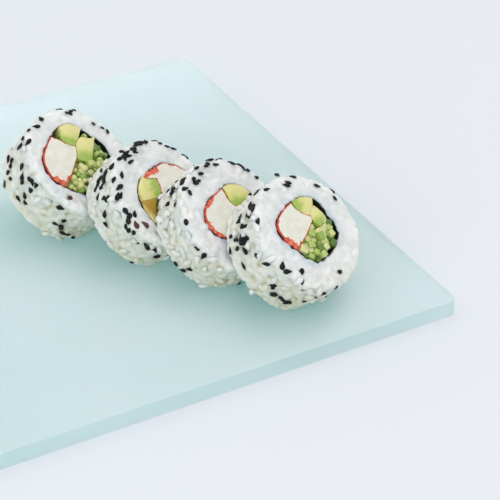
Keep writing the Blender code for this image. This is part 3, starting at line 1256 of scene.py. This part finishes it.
            # Painted shade on the sides, away from the cut faces, and in the creases under the skin; the
            # noise patches are damp.
            side = smooth_step(0.5 * MM, 4.0 * MM, self.slice_.half - abs(place.z))
            near, normal, _, _ = self.skin.find_nearest(place)
            crease_shade = smooth_step(0.5 * MM, 1.9 * MM, (near - place).dot(normal))
            wet_and_shade = 0.08 * patch + side * (0.08 + 0.28 * patch) + low * (0.1 + 0.4 * patch)
            return min(1.0, wet_and_shade + crease_shade * (0.25 + 0.35 * side))

        # Painted bluish-grey shade near the nori, in patches.
        def bore_rim_shade_amount(place: Vector) -> float:
            near = 1.0 - smooth_step(0.8 * MM, 4.5 * MM, self.to_nori(place))
            return near * max(0.0, 0.4 + 0.9 * noise.noise(place / (5.0 * MM)))

        paint_value(piece, "damp", shade_and_wetness)
        paint_value(piece, "sheer", bore_rim_shade_amount)


@dataclass
class Sesame:
    """Black seeds stuck to the rice."""

    seeds: Scatterer
    seed: int = 7
    unseen: int = 26
    apart: float = 1.7 * MM

    def __post_init__(self) -> None:
        """Start with no seed placed."""
        self.random = random.Random(self.seed)
        self.placements: list[Placement] = []

    def stick(
        self, slice_: Slice, rice: list[BVHTree], round_: float, up: float, turn: float, tone: float
    ) -> None:
        """Stick one seed on a slice.

        Args:
            slice_: The slice.
            rice: The slice's rice in its own frame.
            round_: Degrees round the axis.
            up: Degrees up towards the cut face.
            turn: Its turn on the rice, in radians.
            tone: Near 1 for a brown seed.
        """
        around, rise = math.radians(round_), math.radians(up)
        way = Vector(
            (
                math.cos(around) * math.cos(rise),
                math.sin(around) * math.cos(rise),
                math.sin(rise),
            )
        )
        start = way * 60 * MM
        hits = [hit for hit in (tree.ray_cast(start, -way) for tree in rice) if hit[0] is not None]
        if not hits:
            return
        matrix = slice_.matrix
        free = matrix @ min(hits, key=lambda hit: hit[3])[0]
        for other in self.placements:
            aside = free - other.place
            if aside.length < self.apart:
                free += aside.normalized() * (self.apart - aside.length)
        local = matrix.inverted() @ free
        place, normal, _, _ = min((tree.find_nearest(local) for tree in rice), key=lambda near: near[3])
        out = (normal + way * 1.5).normalized()
        turned = matrix.to_3x3() @ out
        self.placements.append(
            Placement(
                place=matrix @ (place + out * 0.15 * MM),
                turn=lying(turned, turn, self.random.gauss(0.0, 0.15)),
                size=self.random.uniform(0.88, 1.12),
                kind=0,
                tone=tone,
            )
        )

    def sprinkle(self, slice_: Slice, rice: list[BVHTree]) -> None:
        """Place the seeds of one slice: its streaks, then some on its unseen side."""
        for streak in slice_.streaks:
            turn = self.random.uniform(0.0, math.tau)
            for k in range(streak.seeds):
                part = k / max(1, streak.seeds - 1)
                round_ = streak.start[0] + (streak.end[0] - streak.start[0]) * part
                up = streak.start[1] + (streak.end[1] - streak.start[1]) * part
                tone = 1.0 if streak.brown else self.random.uniform(0.0, 0.9)
                jitter = 1.2 if streak.seeds > 1 else 0.0
                self.stick(
                    slice_,
                    rice,
                    round_ + self.random.gauss(0.0, jitter),
                    up + self.random.gauss(0.0, jitter),
                    turn + self.random.gauss(0.0, 0.5),
                    tone,
                )
        for _ in range(self.unseen):
            round_ = self.random.uniform(-105.0, 85.0)
            up = self.random.uniform(-26.0, 22.0)
            turn = self.random.uniform(0.0, math.tau)
            self.stick(slice_, rice, round_, up, turn, self.random.random())

    def build(self) -> Piece:
        """Make all the seeds as one mesh."""
        piece = self.seeds.scatter("sesame_seeds", self.placements)
        piece.data.shade_smooth()
        return piece


@dataclass
class NoriSheet:
    """The thin dark sheet between rice and filling, with a ragged cut edge."""

    slice_: Slice
    dip: float = 0.95 * MM
    thinner: float = 0.25 * MM

    def build(self) -> Piece:
        """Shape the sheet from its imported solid."""
        piece = self.slice_.copy_of(Part.NORI, f"nori_{self.slice_.number}")
        shift = Vector((self.slice_.number * 7.0, 3.0, 1.0))
        middle = sum((vert.co for vert in piece.data.vertices), Vector()) / len(piece.data.vertices)

        def thinned(place: Vector, normal: Vector) -> Vector:
            level = Vector((normal.x, normal.y, 0.0)).normalized()
            return place - level * self.thinner if level.dot(place - middle) < 0.0 else place

        move_corners(piece, thinned)
        with editing(piece):
            pick(piece, Element.EDGE, lambda edge: True)
            bpy.ops.mesh.subdivide(number_cuts=2, quadcorner="INNERVERT")

        def uneven(place: Vector, _: Vector) -> Vector:
            ends = smooth_step(self.slice_.half - 3.0 * MM, self.slice_.half - 0.5 * MM, abs(place.z))
            drop = (0.75 + noise.noise(place / (3.2 * MM) + shift)) * self.dip * ends
            wander = noise.noise_vector(place / (5.0 * MM) - shift) * 0.12 * MM
            moved = place + Vector((wander.x, wander.y, 0.0))
            moved.z -= math.copysign(1.0, place.z) * max(0.0, drop)
            return moved

        move_corners(piece, uneven)
        return piece


def keep_below(piece: Piece, ceiling: float) -> None:
    """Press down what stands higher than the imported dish.

    Args:
        piece: The mesh object, in its place on the dish.
        ceiling: The greatest height.
    """
    move_corners(piece, lambda place, _: Vector((place.x, place.y, min(place.z, ceiling))))


def swell(piece: Piece, amount: float) -> None:
    """Let an upright piece grow sideways, so that it meets what it is packed against.

    Args:
        piece: The mesh object, whose sides stand along Z.
        amount: How far its sides move out.
    """

    def grown(place: Vector, normal: Vector) -> Vector:
        level = Vector((normal.x, normal.y, 0.0))
        return place + level.normalized() * amount if level.length > 0.1 else place

    move_corners(piece, grown)


def meet(piece: Piece, skin: BVHTree, reach: float, gap: float) -> None:
    """Let the sides of an upright piece touch a surface that they nearly touch.

    Args:
        piece: The mesh object, whose sides stand along Z.
        skin: The surface, which stands along Z too.
        reach: How near a corner must be.
        gap: How much room is left.
    """

    def met(place: Vector, _: Vector) -> Vector:
        level = Vector((place.x, place.y, 0.0))
        near, _, _, distance = skin.find_nearest(level)
        return place + (near - level) * (1.0 - gap / distance) if gap < distance < reach else place

    move_corners(piece, met)
    with editing(piece):
        bpy.ops.mesh.select_all(action="SELECT")
        bpy.ops.mesh.remove_doubles(threshold=0.15 * MM)


@dataclass
class CrabStick:
    """A crab stick: white flesh, a thin red skin, folds where the skin bunches."""

    slice_: Slice
    nori: BVHTree
    rim: float = 0.34 * MM
    jag: float = 0.7 * MM
    fold_pitch: float = 14.0  # degrees
    fold_drop: float = 0.9 * MM
    rise: float = 0.35 * MM

    def in_folds(self, angle: float) -> tuple[float, float]:
        """How far a direction lies in a folded stretch, 0 to 1, and the folds' width."""
        for pleat in self.slice_.pleats:
            inside = (angle - pleat.start) % 360.0
            width = (pleat.end - pleat.start) % 360.0
            if inside < width:
                share = smooth_step(0.0, 9.0, inside) * smooth_step(0.0, 9.0, width - inside)
                return share, pleat.width * MM
        return 0.0, 0.0

    def build(self) -> Piece:
        """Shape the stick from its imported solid."""
        piece = self.slice_.copy_of(Part.CRAB, f"crab_stick_{self.slice_.number}", flat=True)
        swell(piece, 0.2 * MM)
        outline = [vert.co for vert in piece.data.vertices if vert.co.z > 0]
        middle = sum(outline, Vector()) / len(outline)

        def is_end(face: bmesh.types.BMFace) -> bool:
            return abs(face.normal.z) > 0.9

        with editing(piece):
            pick(piece, Element.EDGE, lambda edge: abs(edge.verts[0].co.z - edge.verts[1].co.z) < MM)
            bpy.ops.mesh.subdivide(number_cuts=6)
        meet(piece, self.nori, 1.6 * MM, 0.05 * MM)
        with editing(piece):
            pick(piece, Element.FACE, is_end)
            bpy.ops.mesh.inset(thickness=self.rim)
            pick(piece, Element.FACE, is_end)
        self._wrap(piece, middle)
        return piece

    def _wrap(self, piece: Piece, middle: Vector) -> None:
        """Fold the skin round the flesh and mark where each shows."""
        shift = Vector((2.0, self.slice_.number * 5.0, 8.0))
        mesh = piece.data
        ends = {face.index for face in mesh.polygons if len(face.vertices) > 8}
        inner = {k for index in ends for k in mesh.polygons[index].vertices}
        stretch = {}
        for vert in mesh.vertices:
            place = vert.co.copy()
            side = math.copysign(1.0, place.z)
            angle = math.degrees(math.atan2(place.y - middle.y, place.x - middle.x))
            fold, width = self.in_folds(angle)
            bend = 7.0 * noise.noise(place / (2.5 * MM) + shift)
            wave = 0.5 + 0.5 * math.sin(math.tau * (angle + bend) / self.fold_pitch)
            toward = Vector((middle.x - place.x, middle.y - place.y, 0.0)).normalized()
            ragged = abs(noise.noise(place / (1.3 * MM) + shift)) * self.jag
            stretch[vert.index] = wave * fold
            if vert.index in inner:
                vert.co = place + toward * (fold * width * (0.65 + 0.5 * wave) + ragged)
                vert.co.z += side * self.rise
            elif abs(place.z) > self.slice_.half - MM:
                vert.co = place - toward * (wave - 0.5) * fold * 0.4 * MM
                vert.co.z -= side * (fold * self.fold_drop * (1.2 - 0.6 * wave) - 0.1 * MM)
        marks = {name: mesh.attributes.new(name, "FLOAT", "CORNER") for name in ("skin", "fold")}
        for face in mesh.polygons:
            for loop in face.loop_indices:
                marks["skin"].data[loop].value = 0.0 if face.index in ends else 1.0
                marks["fold"].data[loop].value = 0.25 + 0.75 * stretch[mesh.loops[loop].vertex_index]
        mesh.update()


@dataclass
class AvocadoStrip:
    """A strip of avocado, cut with a sharp knife."""

    slice_: Slice
    nori: BVHTree
    part: Part
    green_way: float
    edge: float = 0.3 * MM
    rise: float = 0.3 * MM

    def build(self) -> Piece:
        """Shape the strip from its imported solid."""
        name = f"{self.part.value}_{self.slice_.number}"
        piece = self.slice_.copy_of(self.part, name, flat=True)
        swell(piece, 0.2 * MM)
        with editing(piece):
            pick(piece, Element.EDGE, lambda edge: abs(edge.verts[0].co.z - edge.verts[1].co.z) < MM)
            bpy.ops.mesh.subdivide(number_cuts=3)
        meet(piece, self.nori, 2.0 * MM, 0.05 * MM)
        tip = random.Random(f"{name} tip")
        slope = Vector((tip.uniform(-0.03, 0.03), tip.uniform(-0.03, 0.03), 0.0))
        middle = sum((vert.co for vert in piece.data.vertices), Vector()) / len(piece.data.vertices)

        def cut_aslant(place: Vector, _: Vector) -> Vector:
            over = self.rise + (place - middle).dot(slope)
            return place + Vector((0.0, 0.0, math.copysign(over, place.z)))

        move_corners(piece, cut_aslant)
        with editing(piece):
            pick(piece, Element.EDGE, self._is_rim)
            bpy.ops.mesh.bevel(offset=self.edge, segments=2, profile=0.5, affect="EDGES")
        way = Vector((math.cos(math.radians(self.green_way)), math.sin(math.radians(self.green_way)), 0.0))
        reach = [vert.co.dot(way) for vert in piece.data.vertices]
        low, high = min(reach), max(reach)
        # Painted shade: a second strip's amber amount lowers its ripe value into the amber stop.
        start = 0.2 - (self.slice_.amber_shade if self.part is Part.AVOCADO_B else 0.0)
        paint_value(piece, "ripe", lambda place: start + 0.8 * (place.dot(way) - low) / (high - low))
        activate(piece)
        bpy.ops.object.shade_smooth_by_angle(angle=math.radians(35))
        return piece

    def _is_rim(self, edge: bmesh.types.BMEdge) -> bool:
        """Whether an edge runs round one of the strip's ends."""
        near_end = self.slice_.half - 2 * MM
        return all(abs(vert.co.z) > near_end for vert in edge.verts)


@dataclass
class CucumberBundle:
    """Thin cucumber sticks side by side, over a smaller core."""

    slice_: Slice
    nori: BVHTree
    sticks: Scatterer
    seed: int
    pitch: float = 2.8 * MM
    near_edge: float = 0.3 * MM

    def build(self) -> list[Piece]:
        """Make the sticks and the core that closes the gaps between them."""
        number = self.slice_.number
        core = self.slice_.copy_of(Part.CUCUMBER, f"cucumber_core_{number}", flat=True)
        outline = surface_of(core)
        beside = self.slice_.skin_of(Part.CRAB)
        chance = random.Random(self.seed)
        placements = []
        rows = 18
        for row in range(-rows, rows):
            for column in range(-rows, rows):
                x = (column + (row % 2) / 2) * self.pitch + chance.gauss(0.0, 0.25) * MM
                y = row * self.pitch * 0.87 + chance.gauss(0.0, 0.25) * MM
                tone, turn = chance.random(), chance.uniform(0.0, math.tau)
                rise, size = chance.gauss(0.1, 0.5), chance.uniform(0.92, 1.06)
                kind = 2 * (number - 1) + chance.randrange(2)
                place = Vector((x, y, 0.0))
                inside = outline.ray_cast(Vector((x, y, 0.1)), Vector((0.0, 0.0, -1.0)))[0]
                if inside is None or outline.find_nearest(place)[3] < self.near_edge:
                    continue
                near_crab = 1.0 - smooth_step(2.0 * MM, 11.0 * MM, beside.find_nearest(place)[3])
                far = smooth_step(8.0 * MM, 14.0 * MM, beside.find_nearest(place)[3])
                ripe = smooth_step(0.1, 0.9, tone) - 0.5 * near_crab + 0.4 * far
                lean = Euler((chance.gauss(0.0, 0.03), chance.gauss(0.0, 0.03), turn))
                stand = Vector((x, y, rise * MM))
                placements.append(Placement(stand, lean, size, kind, min(1.0, max(0.0, ripe))))
        sticks = self.sticks.scatter(f"cucumber_sticks_{number}", placements)
        self._hold(sticks, outline, self.nori)
        activate(sticks)
        bpy.ops.object.shade_smooth_by_angle(angle=math.radians(40))

        def drawn_in(place: Vector, normal: Vector) -> Vector:
            level = Vector((normal.x, normal.y, 0.0)) * 0.1 * MM
            return Vector((place.x, place.y, place.z * 0.86)) - level

        move_corners(core, drawn_in)
        # Painted shade: the core, seen in the gaps between the sticks, gets a fixed deep-green tone.
        paint_value(core, "tone", lambda place: 0.8)
        return [sticks, core]

    @staticmethod
    def _hold(sticks: Piece, outline: BVHTree, nori: BVHTree) -> None:
        """Press the outer sticks back to the bundle's outline and off the nori."""

        def held(place: Vector, _: Vector) -> Vector:
            level = Vector((place.x, place.y, 0.0))
            near, normal, _, _ = outline.find_nearest(level)
            back = normal * min(0.0, 1.1 * MM - (level - near).dot(normal))
            near, normal, _, distance = nori.find_nearest(level + back)
            if distance < 2.0 * MM:
                back += normal * max(0.0, 0.05 * MM - (level + back - near).dot(normal))
            return place + back

        move_corners(sticks, held)


# --- the small shapes that are copied ---------------------------------------------------


def new_ball(name: str, radii: tuple[float, float, float], segments: int, rings: int) -> Piece:
    """A ball with its poles on the X axis, stretched to three radii.

    Args:
        name: The object's name.
        radii: The radii along X, Y and Z in metres.
        segments: Faces round the X axis.
        rings: Faces from pole to pole.

    Returns:
        The ball.
    """
    bpy.ops.object.select_all(action="DESELECT")
    bpy.ops.mesh.primitive_uv_sphere_add(segments=segments, ring_count=rings, radius=1.0)
    ball = bpy.context.active_object
    ball.name = name
    with editing(ball):
        bpy.ops.mesh.select_all(action="SELECT")
        bpy.ops.transform.rotate(value=math.pi / 2, orient_axis="Y", center_override=(0, 0, 0))
        bpy.ops.transform.resize(value=radii, center_override=(0, 0, 0))
    return ball


def grain_shapes() -> list[Piece]:
    """The four kinds of cooked grain, each modelled once."""
    shapes = []
    for kind in GrainKind:
        grain = new_ball(f"grain_{kind.value}", (2.85 * MM, 1.42 * MM, 1.22 * MM), 10, 7)
        with editing(grain):
            if kind is GrainKind.POINTED:
                pick(grain, Element.VERT, lambda vert: vert.co.x > 1.0 * MM)
                bpy.ops.transform.resize(value=(1.0, 0.72, 0.72), center_override=(0, 0, 0))
                pick(grain, Element.VERT, lambda vert: vert.co.x > 2.0 * MM)
                bpy.ops.transform.translate(value=(0.3 * MM, 0.0, 0.15 * MM))
            if kind is GrainKind.BROKEN:
                bpy.ops.mesh.select_all(action="SELECT")
                bpy.ops.mesh.bisect(
                    plane_co=(0.9 * MM, 0, 0),
                    plane_no=(1.0, 0.25, 0.1),
                    use_fill=True,
                    clear_outer=True,
                )
        if kind is GrainKind.BENT:
            finish_with(
                grain, "SIMPLE_DEFORM", deform_method="BEND", deform_axis="Z", angle=math.radians(28)
            )
        shapes.append(grain)
    return shapes


def seed_shapes() -> list[Piece]:
    """A sesame seed: flat, round at one end and pointed at the other."""
    seed = new_ball("seed_0", (1.8 * MM, 1.2 * MM, 0.6 * MM), 10, 7)
    with editing(seed):
        pick(seed, Element.VERT, lambda vert: vert.co.x > 0.4 * MM)
        bpy.ops.transform.resize(value=(1.0, 0.78, 0.85), center_override=(0, 0, 0))
        pick(seed, Element.VERT, lambda vert: vert.co.x > 1.0 * MM)
        bpy.ops.transform.resize(value=(1.08, 0.72, 0.8), center_override=(0, 0, 0))
    return [seed]


def stick_shapes() -> list[Piece]:
    """A thick and a thin cucumber stick for each slice, as long as its filling."""
    shapes = []
    for slice_, scale in ((slice_, scale) for slice_ in SLICES for scale in (1.15, 0.85)):
        bpy.ops.object.select_all(action="DESELECT")
        bpy.ops.mesh.primitive_cube_add(size=1.0)
        stick = bpy.context.active_object
        stick.name = f"stick_{len(shapes)}"
        long = slice_.length * MM - 0.6 * MM
        scale *= slice_.stick_size
        section = (3.2 * MM * scale, 2.8 * MM * scale)
        with editing(stick):
            bpy.ops.mesh.select_all(action="SELECT")
            bpy.ops.transform.resize(value=(*section, long), center_override=(0, 0, 0))
            pick(stick, Element.EDGE, lambda edge: abs(edge.verts[0].co.z - edge.verts[1].co.z) > MM)
            bpy.ops.mesh.bevel(offset=slice_.stick_edge * MM, segments=2, profile=0.5, affect="EDGES")
            pick(stick, Element.EDGE, lambda edge: abs(edge.verts[0].co.z - edge.verts[1].co.z) < MM)
            bpy.ops.mesh.bevel(offset=0.6 * slice_.stick_edge * MM, segments=2, profile=0.5, affect="EDGES")
        shapes.append(stick)
    return shapes


# --- the plate and the studio -----------------------------------------------------------


@dataclass
class GlassPlate:
    """The thick plate, with round corners and softened edges."""

    corner: float = 3.4 * MM
    arris: float = 0.4 * MM

    def build(self) -> Piece:
        """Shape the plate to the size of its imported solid; light shines through to the floor."""
        low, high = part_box("plate")
        size = high - low
        bpy.ops.object.select_all(action="DESELECT")
        bpy.ops.mesh.primitive_cube_add(size=1.0)
        piece = bpy.context.active_object
        piece.name = "glass_plate"
        with editing(piece):
            bpy.ops.mesh.select_all(action="SELECT")
            bpy.ops.transform.resize(value=size, center_override=(0, 0, 0))
            bpy.ops.transform.translate(value=(low + high) / 2)
            pick(piece, Element.EDGE, lambda edge: abs(edge.verts[0].co.z - edge.verts[1].co.z) > MM)
            bpy.ops.mesh.bevel(offset=self.corner, segments=12, profile=0.5, affect="EDGES")
            pick(piece, Element.EDGE, lambda edge: abs(edge.verts[0].co.z - edge.verts[1].co.z) < MM)
            bpy.ops.mesh.bevel(offset=self.arris, segments=4, profile=0.5, affect="EDGES")
        activate(piece)
        bpy.ops.object.shade_smooth_by_angle(angle=math.radians(40))
        piece.visible_shadow = False
        return piece


@dataclass(frozen=True)
class Lamp:
    """A rectangular soft light that faces the dish. Lengths are in metres."""

    name: str
    place: tuple[float, float, float]
    size: tuple[float, float]
    colour: Colour
    power: float

    def build(self) -> None:
        """Set up the light."""
        data = bpy.data.lights.new(self.name, "AREA")
        data.shape = "RECTANGLE"
        data.size, data.size_y = self.size
        data.color = self.colour
        data.energy = self.power
        light = bpy.data.objects.new(self.name, data)
        bpy.context.scene.collection.objects.link(light)
        light.location = self.place
        light.rotation_euler = (Vector((0.1, 0.0, 0.0)) - light.location).to_track_quat("-Z", "Y").to_euler()


@dataclass
class Studio:
    """A pale floor, soft light and the camera."""

    aim: tuple[float, float, float] = (116.2, -48.1, 7.6)  # millimetres
    distance: float = 918.4  # millimetres
    azimuth: float = -29.33
    elevation: float = 33.66
    lens: float = 149.2
    floor_colour: Colour = (0.785, 0.81, 0.855)
    sky: Colour = (0.92, 0.99, 0.975)
    sky_strength: float = 0.865
    lamps: tuple[Lamp, ...] = (
        Lamp("softbox", (0.55, -0.1, 1.35), (1.2, 0.9), (1.0, 0.72, 0.80), 4.2),
        Lamp("window", (-0.9, -0.7, 0.6), (1.0, 0.8), (0.98, 0.96, 1.0), 3.6),
    )

    def build(self) -> None:
        """Set up the camera, the floor and the lights."""
        self._camera()
        self._floor()
        self._lights()

    def _camera(self) -> None:
        """Aim the camera at the middle of the row."""
        data = bpy.data.cameras.new("camera")
        data.lens = self.lens
        data.clip_start, data.clip_end = 0.05, 20.0
        camera = bpy.data.objects.new("camera", data)
        bpy.context.scene.collection.objects.link(camera)
        around, rise = math.radians(self.azimuth), math.radians(self.elevation)
        back = Vector(
            (
                math.sin(around) * math.cos(rise),
                -math.cos(around) * math.cos(rise),
                math.sin(rise),
            )
        )
        camera.location = Vector(self.aim) * MM + back * self.distance * MM
        camera.rotation_euler = (-back).to_track_quat("-Z", "Y").to_euler()
        bpy.context.scene.camera = camera

    def _floor(self) -> None:
        """Lay a wide pale floor under the plate."""
        bpy.ops.object.select_all(action="DESELECT")
        bpy.ops.mesh.primitive_plane_add(size=8.0, location=(0.0, 0.0, CAD_BOX[0].z - 0.05 * MM))
        floor = bpy.context.active_object
        floor.name = "floor"
        recipe = Recipe("floor", Base_Color=self.floor_colour, Roughness=0.7)
        floor.data.materials.append(recipe.material)
        floor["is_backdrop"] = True

    def _lights(self) -> None:
        """Light the row from a pale sky, a softbox overhead and a window at the left."""
        world = bpy.data.worlds.new("studio")
        world.use_nodes = True
        background = world.node_tree.nodes["Background"]
        background.inputs["Color"].default_value = (*self.sky, 1.0)
        background.inputs["Strength"].default_value = self.sky_strength
        bpy.context.scene.world = world
        for lamp in self.lamps:
            lamp.build()
        bpy.context.scene.view_settings.view_transform = "Standard"


def streaks(*rows: tuple) -> tuple[Streak, ...]:
    """Turn short rows of numbers into streaks."""
    return tuple(Streak(*row) for row in rows)


SLICES = (
    Slice(
        number=1,
        place=(56.8, 13.8, 24.4),
        lean=38.8,
        heading=25.7,
        length=26.8,
        looseness=0.3,
        melting=9,
        ragged_way=290.0,
        pleats=(Pleat(200.0, 252.0, 1.8),),
        green_a=225.0,
        green_b=235.0,
        amber_shade=0.0,
        stick_edge=0.9,
        stick_size=0.86,
        streaks=streaks(
            ((50, 25), (58, 28), 4), ((64, 22), (64, 22), 1), ((94, 27), (94, 27), 1),
            ((108, 27), (113, 26), 2), ((121, 18), (124, 12), 3), ((130, 19), (131, 27), 2),
            ((112, -13), (112, -13), 1), ((126, -12), (134, -5), 2), ((139, -16), (140, -7), 2),
            ((149, 11), (149, 11), 1), ((150, -12), (150, -12), 1),
            ((150, -22), (150, -22), 1, True), ((158, 6), (162, 3), 2),
            ((167, 15), (174, 16), 3), ((174, 5), (174, 5), 1), ((174, -6), (174, -6), 1),
            ((174, -16), (179, -18), 2), ((209, 18), (209, 18), 1),
            ((214, 30), (214, 30), 1, True), ((217, -6), (235, -17), 5),
            ((221, 3), (221, 3), 1), ((243, -20), (243, -20), 1), ((6, 28), (26, 28), 3),
        ),
    ),
    Slice(
        number=2,
        place=(78.5, -24.4, 23.4),
        lean=43.3,
        heading=21.0,
        length=24.2,
        looseness=0.6,
        melting=7,
        ragged_way=215.0,
        pleats=(Pleat(95.0, 150.0, 2.6), Pleat(20.0, 50.0, 0.8)),
        green_a=-20.0,
        green_b=200.0,
        amber_shade=0.7,
        stick_edge=0.45,
        stick_size=1.0,
        streaks=streaks(
            ((51, 25), (51, 25), 1), ((35, 26), (42, 26), 2), ((70, 26), (88, 27), 6),
            ((77, 28), (87, 29), 2), ((99, 25), (110, 27), 5), ((101, 29), (104, 31), 2),
            ((124, 22), (128, 28), 2), ((121, 12), (133, 14), 4), ((124, 6), (138, 5), 5),
            ((126, 1), (134, -5), 4), ((138, 25), (138, 25), 1), ((147, 29), (147, 29), 1),
            ((157, 27), (159, 29), 2), ((145, -4), (145, -4), 1), ((151, 8), (156, 14), 3),
            ((166, -1), (166, -1), 1), ((175, -10), (175, -10), 1), ((178, 28), (184, 26), 2),
            ((186, 31), (186, 31), 1), ((186, 25), (195, 17), 3),
            ((196, 27), (203, 29), 2, True), ((200, 20), (200, 20), 1),
            ((210, 8), (217, 14), 2), ((227, 15), (238, -1), 2), ((226, -25), (226, -25), 1),
        ),
    ),
    Slice(
        number=3,
        place=(97.8, -54.1, 23.2),
        lean=42.2,
        heading=21.5,
        length=22.6,
        looseness=0.85,
        melting=5,
        ragged_way=200.0,
        pleats=(Pleat(85.0, 140.0, 1.1), Pleat(175.0, 235.0, 0.7)),
        green_a=240.0,
        green_b=270.0,
        amber_shade=0.0,
        stick_edge=0.45,
        stick_size=1.0,
        streaks=streaks(
            ((69, 24), (83, 24), 4), ((94, 24), (94, 24), 2), ((49, 24), (49, 24), 1),
            ((35, 24), (35, 24), 1), ((18, 24), (29, 24), 2), ((102, 25), (109, 26), 3),
            ((123, 22), (114, 20), 3), ((126, 26), (126, 26), 1), ((99, -7), (110, -12), 3),
            ((118, 6), (120, 1), 3), ((132, -1), (136, 11), 2), ((162, 22), (162, 22), 1),
            ((189, 17), (198, 20), 2), ((198, -18), (201, -10), 2), ((188, -20), (188, -20), 1),
        ),
    ),
    Slice(
        number=4,
        place=(116.7, -83.8, 24.6),
        lean=41.8,
        heading=21.6,
        length=26.2,
        looseness=0.75,
        melting=4,
        ragged_way=200.0,
        pleats=(Pleat(188.0, 247.0, 1.9),),
        green_a=150.0,
        green_b=255.0,
        amber_shade=0.0,
        stick_edge=0.4,
        stick_size=0.95,
        streaks=streaks(
            ((76, 27), (76, 27), 2), ((64, 26), (64, 26), 1), ((35, 28), (35, 28), 1),
            ((12, 28), (12, 28), 1), ((103, 26), (103, 26), 1), ((103, 13), (108, 17), 2),
            ((120, 15), (128, 22), 3), ((125, 0), (132, 13), 3), ((132, 0), (139, 6), 3),
            ((143, 26), (143, 26), 1), ((141, -18), (150, -6), 4), ((147, -4), (152, 6), 5),
            ((152, -21), (152, -21), 1), ((158, -7), (163, 4), 2), ((172, 11), (172, 11), 1),
            ((172, -14), (172, -14), 1), ((183, 18), (183, 18), 1), ((196, 27), (203, 27), 2),
            ((218, 30), (221, 28), 2), ((228, 17), (228, 17), 1), ((206, 1), (212, -11), 4),
            ((219, -11), (229, -11), 4), ((243, -4), (247, 16), 3), ((272, 30), (272, 30), 1),
        ),
    ),
)


def main() -> None:
    """Build the dish piece by piece."""
    logging.basicConfig(level=logging.INFO, format="%(name)s: %(message)s")
    noise.seed_set(NOISE_SEED)
    studio = Studio()
    studio.build()
    larder = Larder()
    hand_over(GlassPlate().build(), larder.glass, Slot.GLASS, "plate")

    grains = Scatterer("grain shapes", grain_shapes())
    seeds = Scatterer("seed shapes", seed_shapes())
    sticks = Scatterer("stick shapes", stick_shapes())
    sesame = Sesame(seeds)
    packed_rice = {s.number: surface_of(frame["nodes"][s.node(Part.RICE)]) for s in SLICES}
    ceiling = CAD_BOX[1][2]
    for slice_ in SLICES:
        others = [tree for number, tree in packed_rice.items() if number != slice_.number]
        coat = RiceCoat(slice_, grains, others, seed=slice_.number)
        mass = coat.build_mass()
        loose = coat.build_grains()
        sesame.sprinkle(slice_, [surface_of(mass), surface_of(loose)])
        dismiss(coat.solid)
        for piece in (slice_.set_in_place(mass), slice_.set_in_place(loose)):
            keep_below(piece, ceiling)
        hand_over(mass, larder.rice, Slot.RICE, slice_.node(Part.RICE))
        hand_over(loose, larder.rice, Slot.RICE)
        sheet = NoriSheet(slice_).build()
        nori = surface_of(sheet)
        hand_over(slice_.set_in_place(sheet), larder.nori, Slot.NORI, slice_.node(Part.NORI))
        crab = slice_.set_in_place(CrabStick(slice_, nori).build())
        hand_over(crab, larder.crab, Slot.CRAB, slice_.node(Part.CRAB))
        for part, way in ((Part.AVOCADO_A, slice_.green_a), (Part.AVOCADO_B, slice_.green_b)):
            strip = slice_.set_in_place(AvocadoStrip(slice_, nori, part, way).build())
            hand_over(strip, larder.avocado, Slot.AVOCADO, slice_.node(part))
        bundle, core = CucumberBundle(slice_, nori, sticks, seed=slice_.number).build()
        slice_.set_in_place(bundle)
        slice_.set_in_place(core)
        hand_over(bundle, larder.cucumber, Slot.CUCUMBER, slice_.node(Part.CUCUMBER))
        hand_over(core, larder.cucumber, Slot.CUCUMBER)
    scattered = sesame.build()
    keep_below(scattered, ceiling)
    hand_over(scattered, larder.sesame, Slot.SESAME)
    for scatterer in (grains, seeds, sticks):
        scatterer.clear_away()

    boxes = {"cad": CAD_BOX, "visual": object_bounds()}
    {name: [list(corner) for corner in box] for name, box in boxes.items()}


if __name__ == "__main__":
    main()
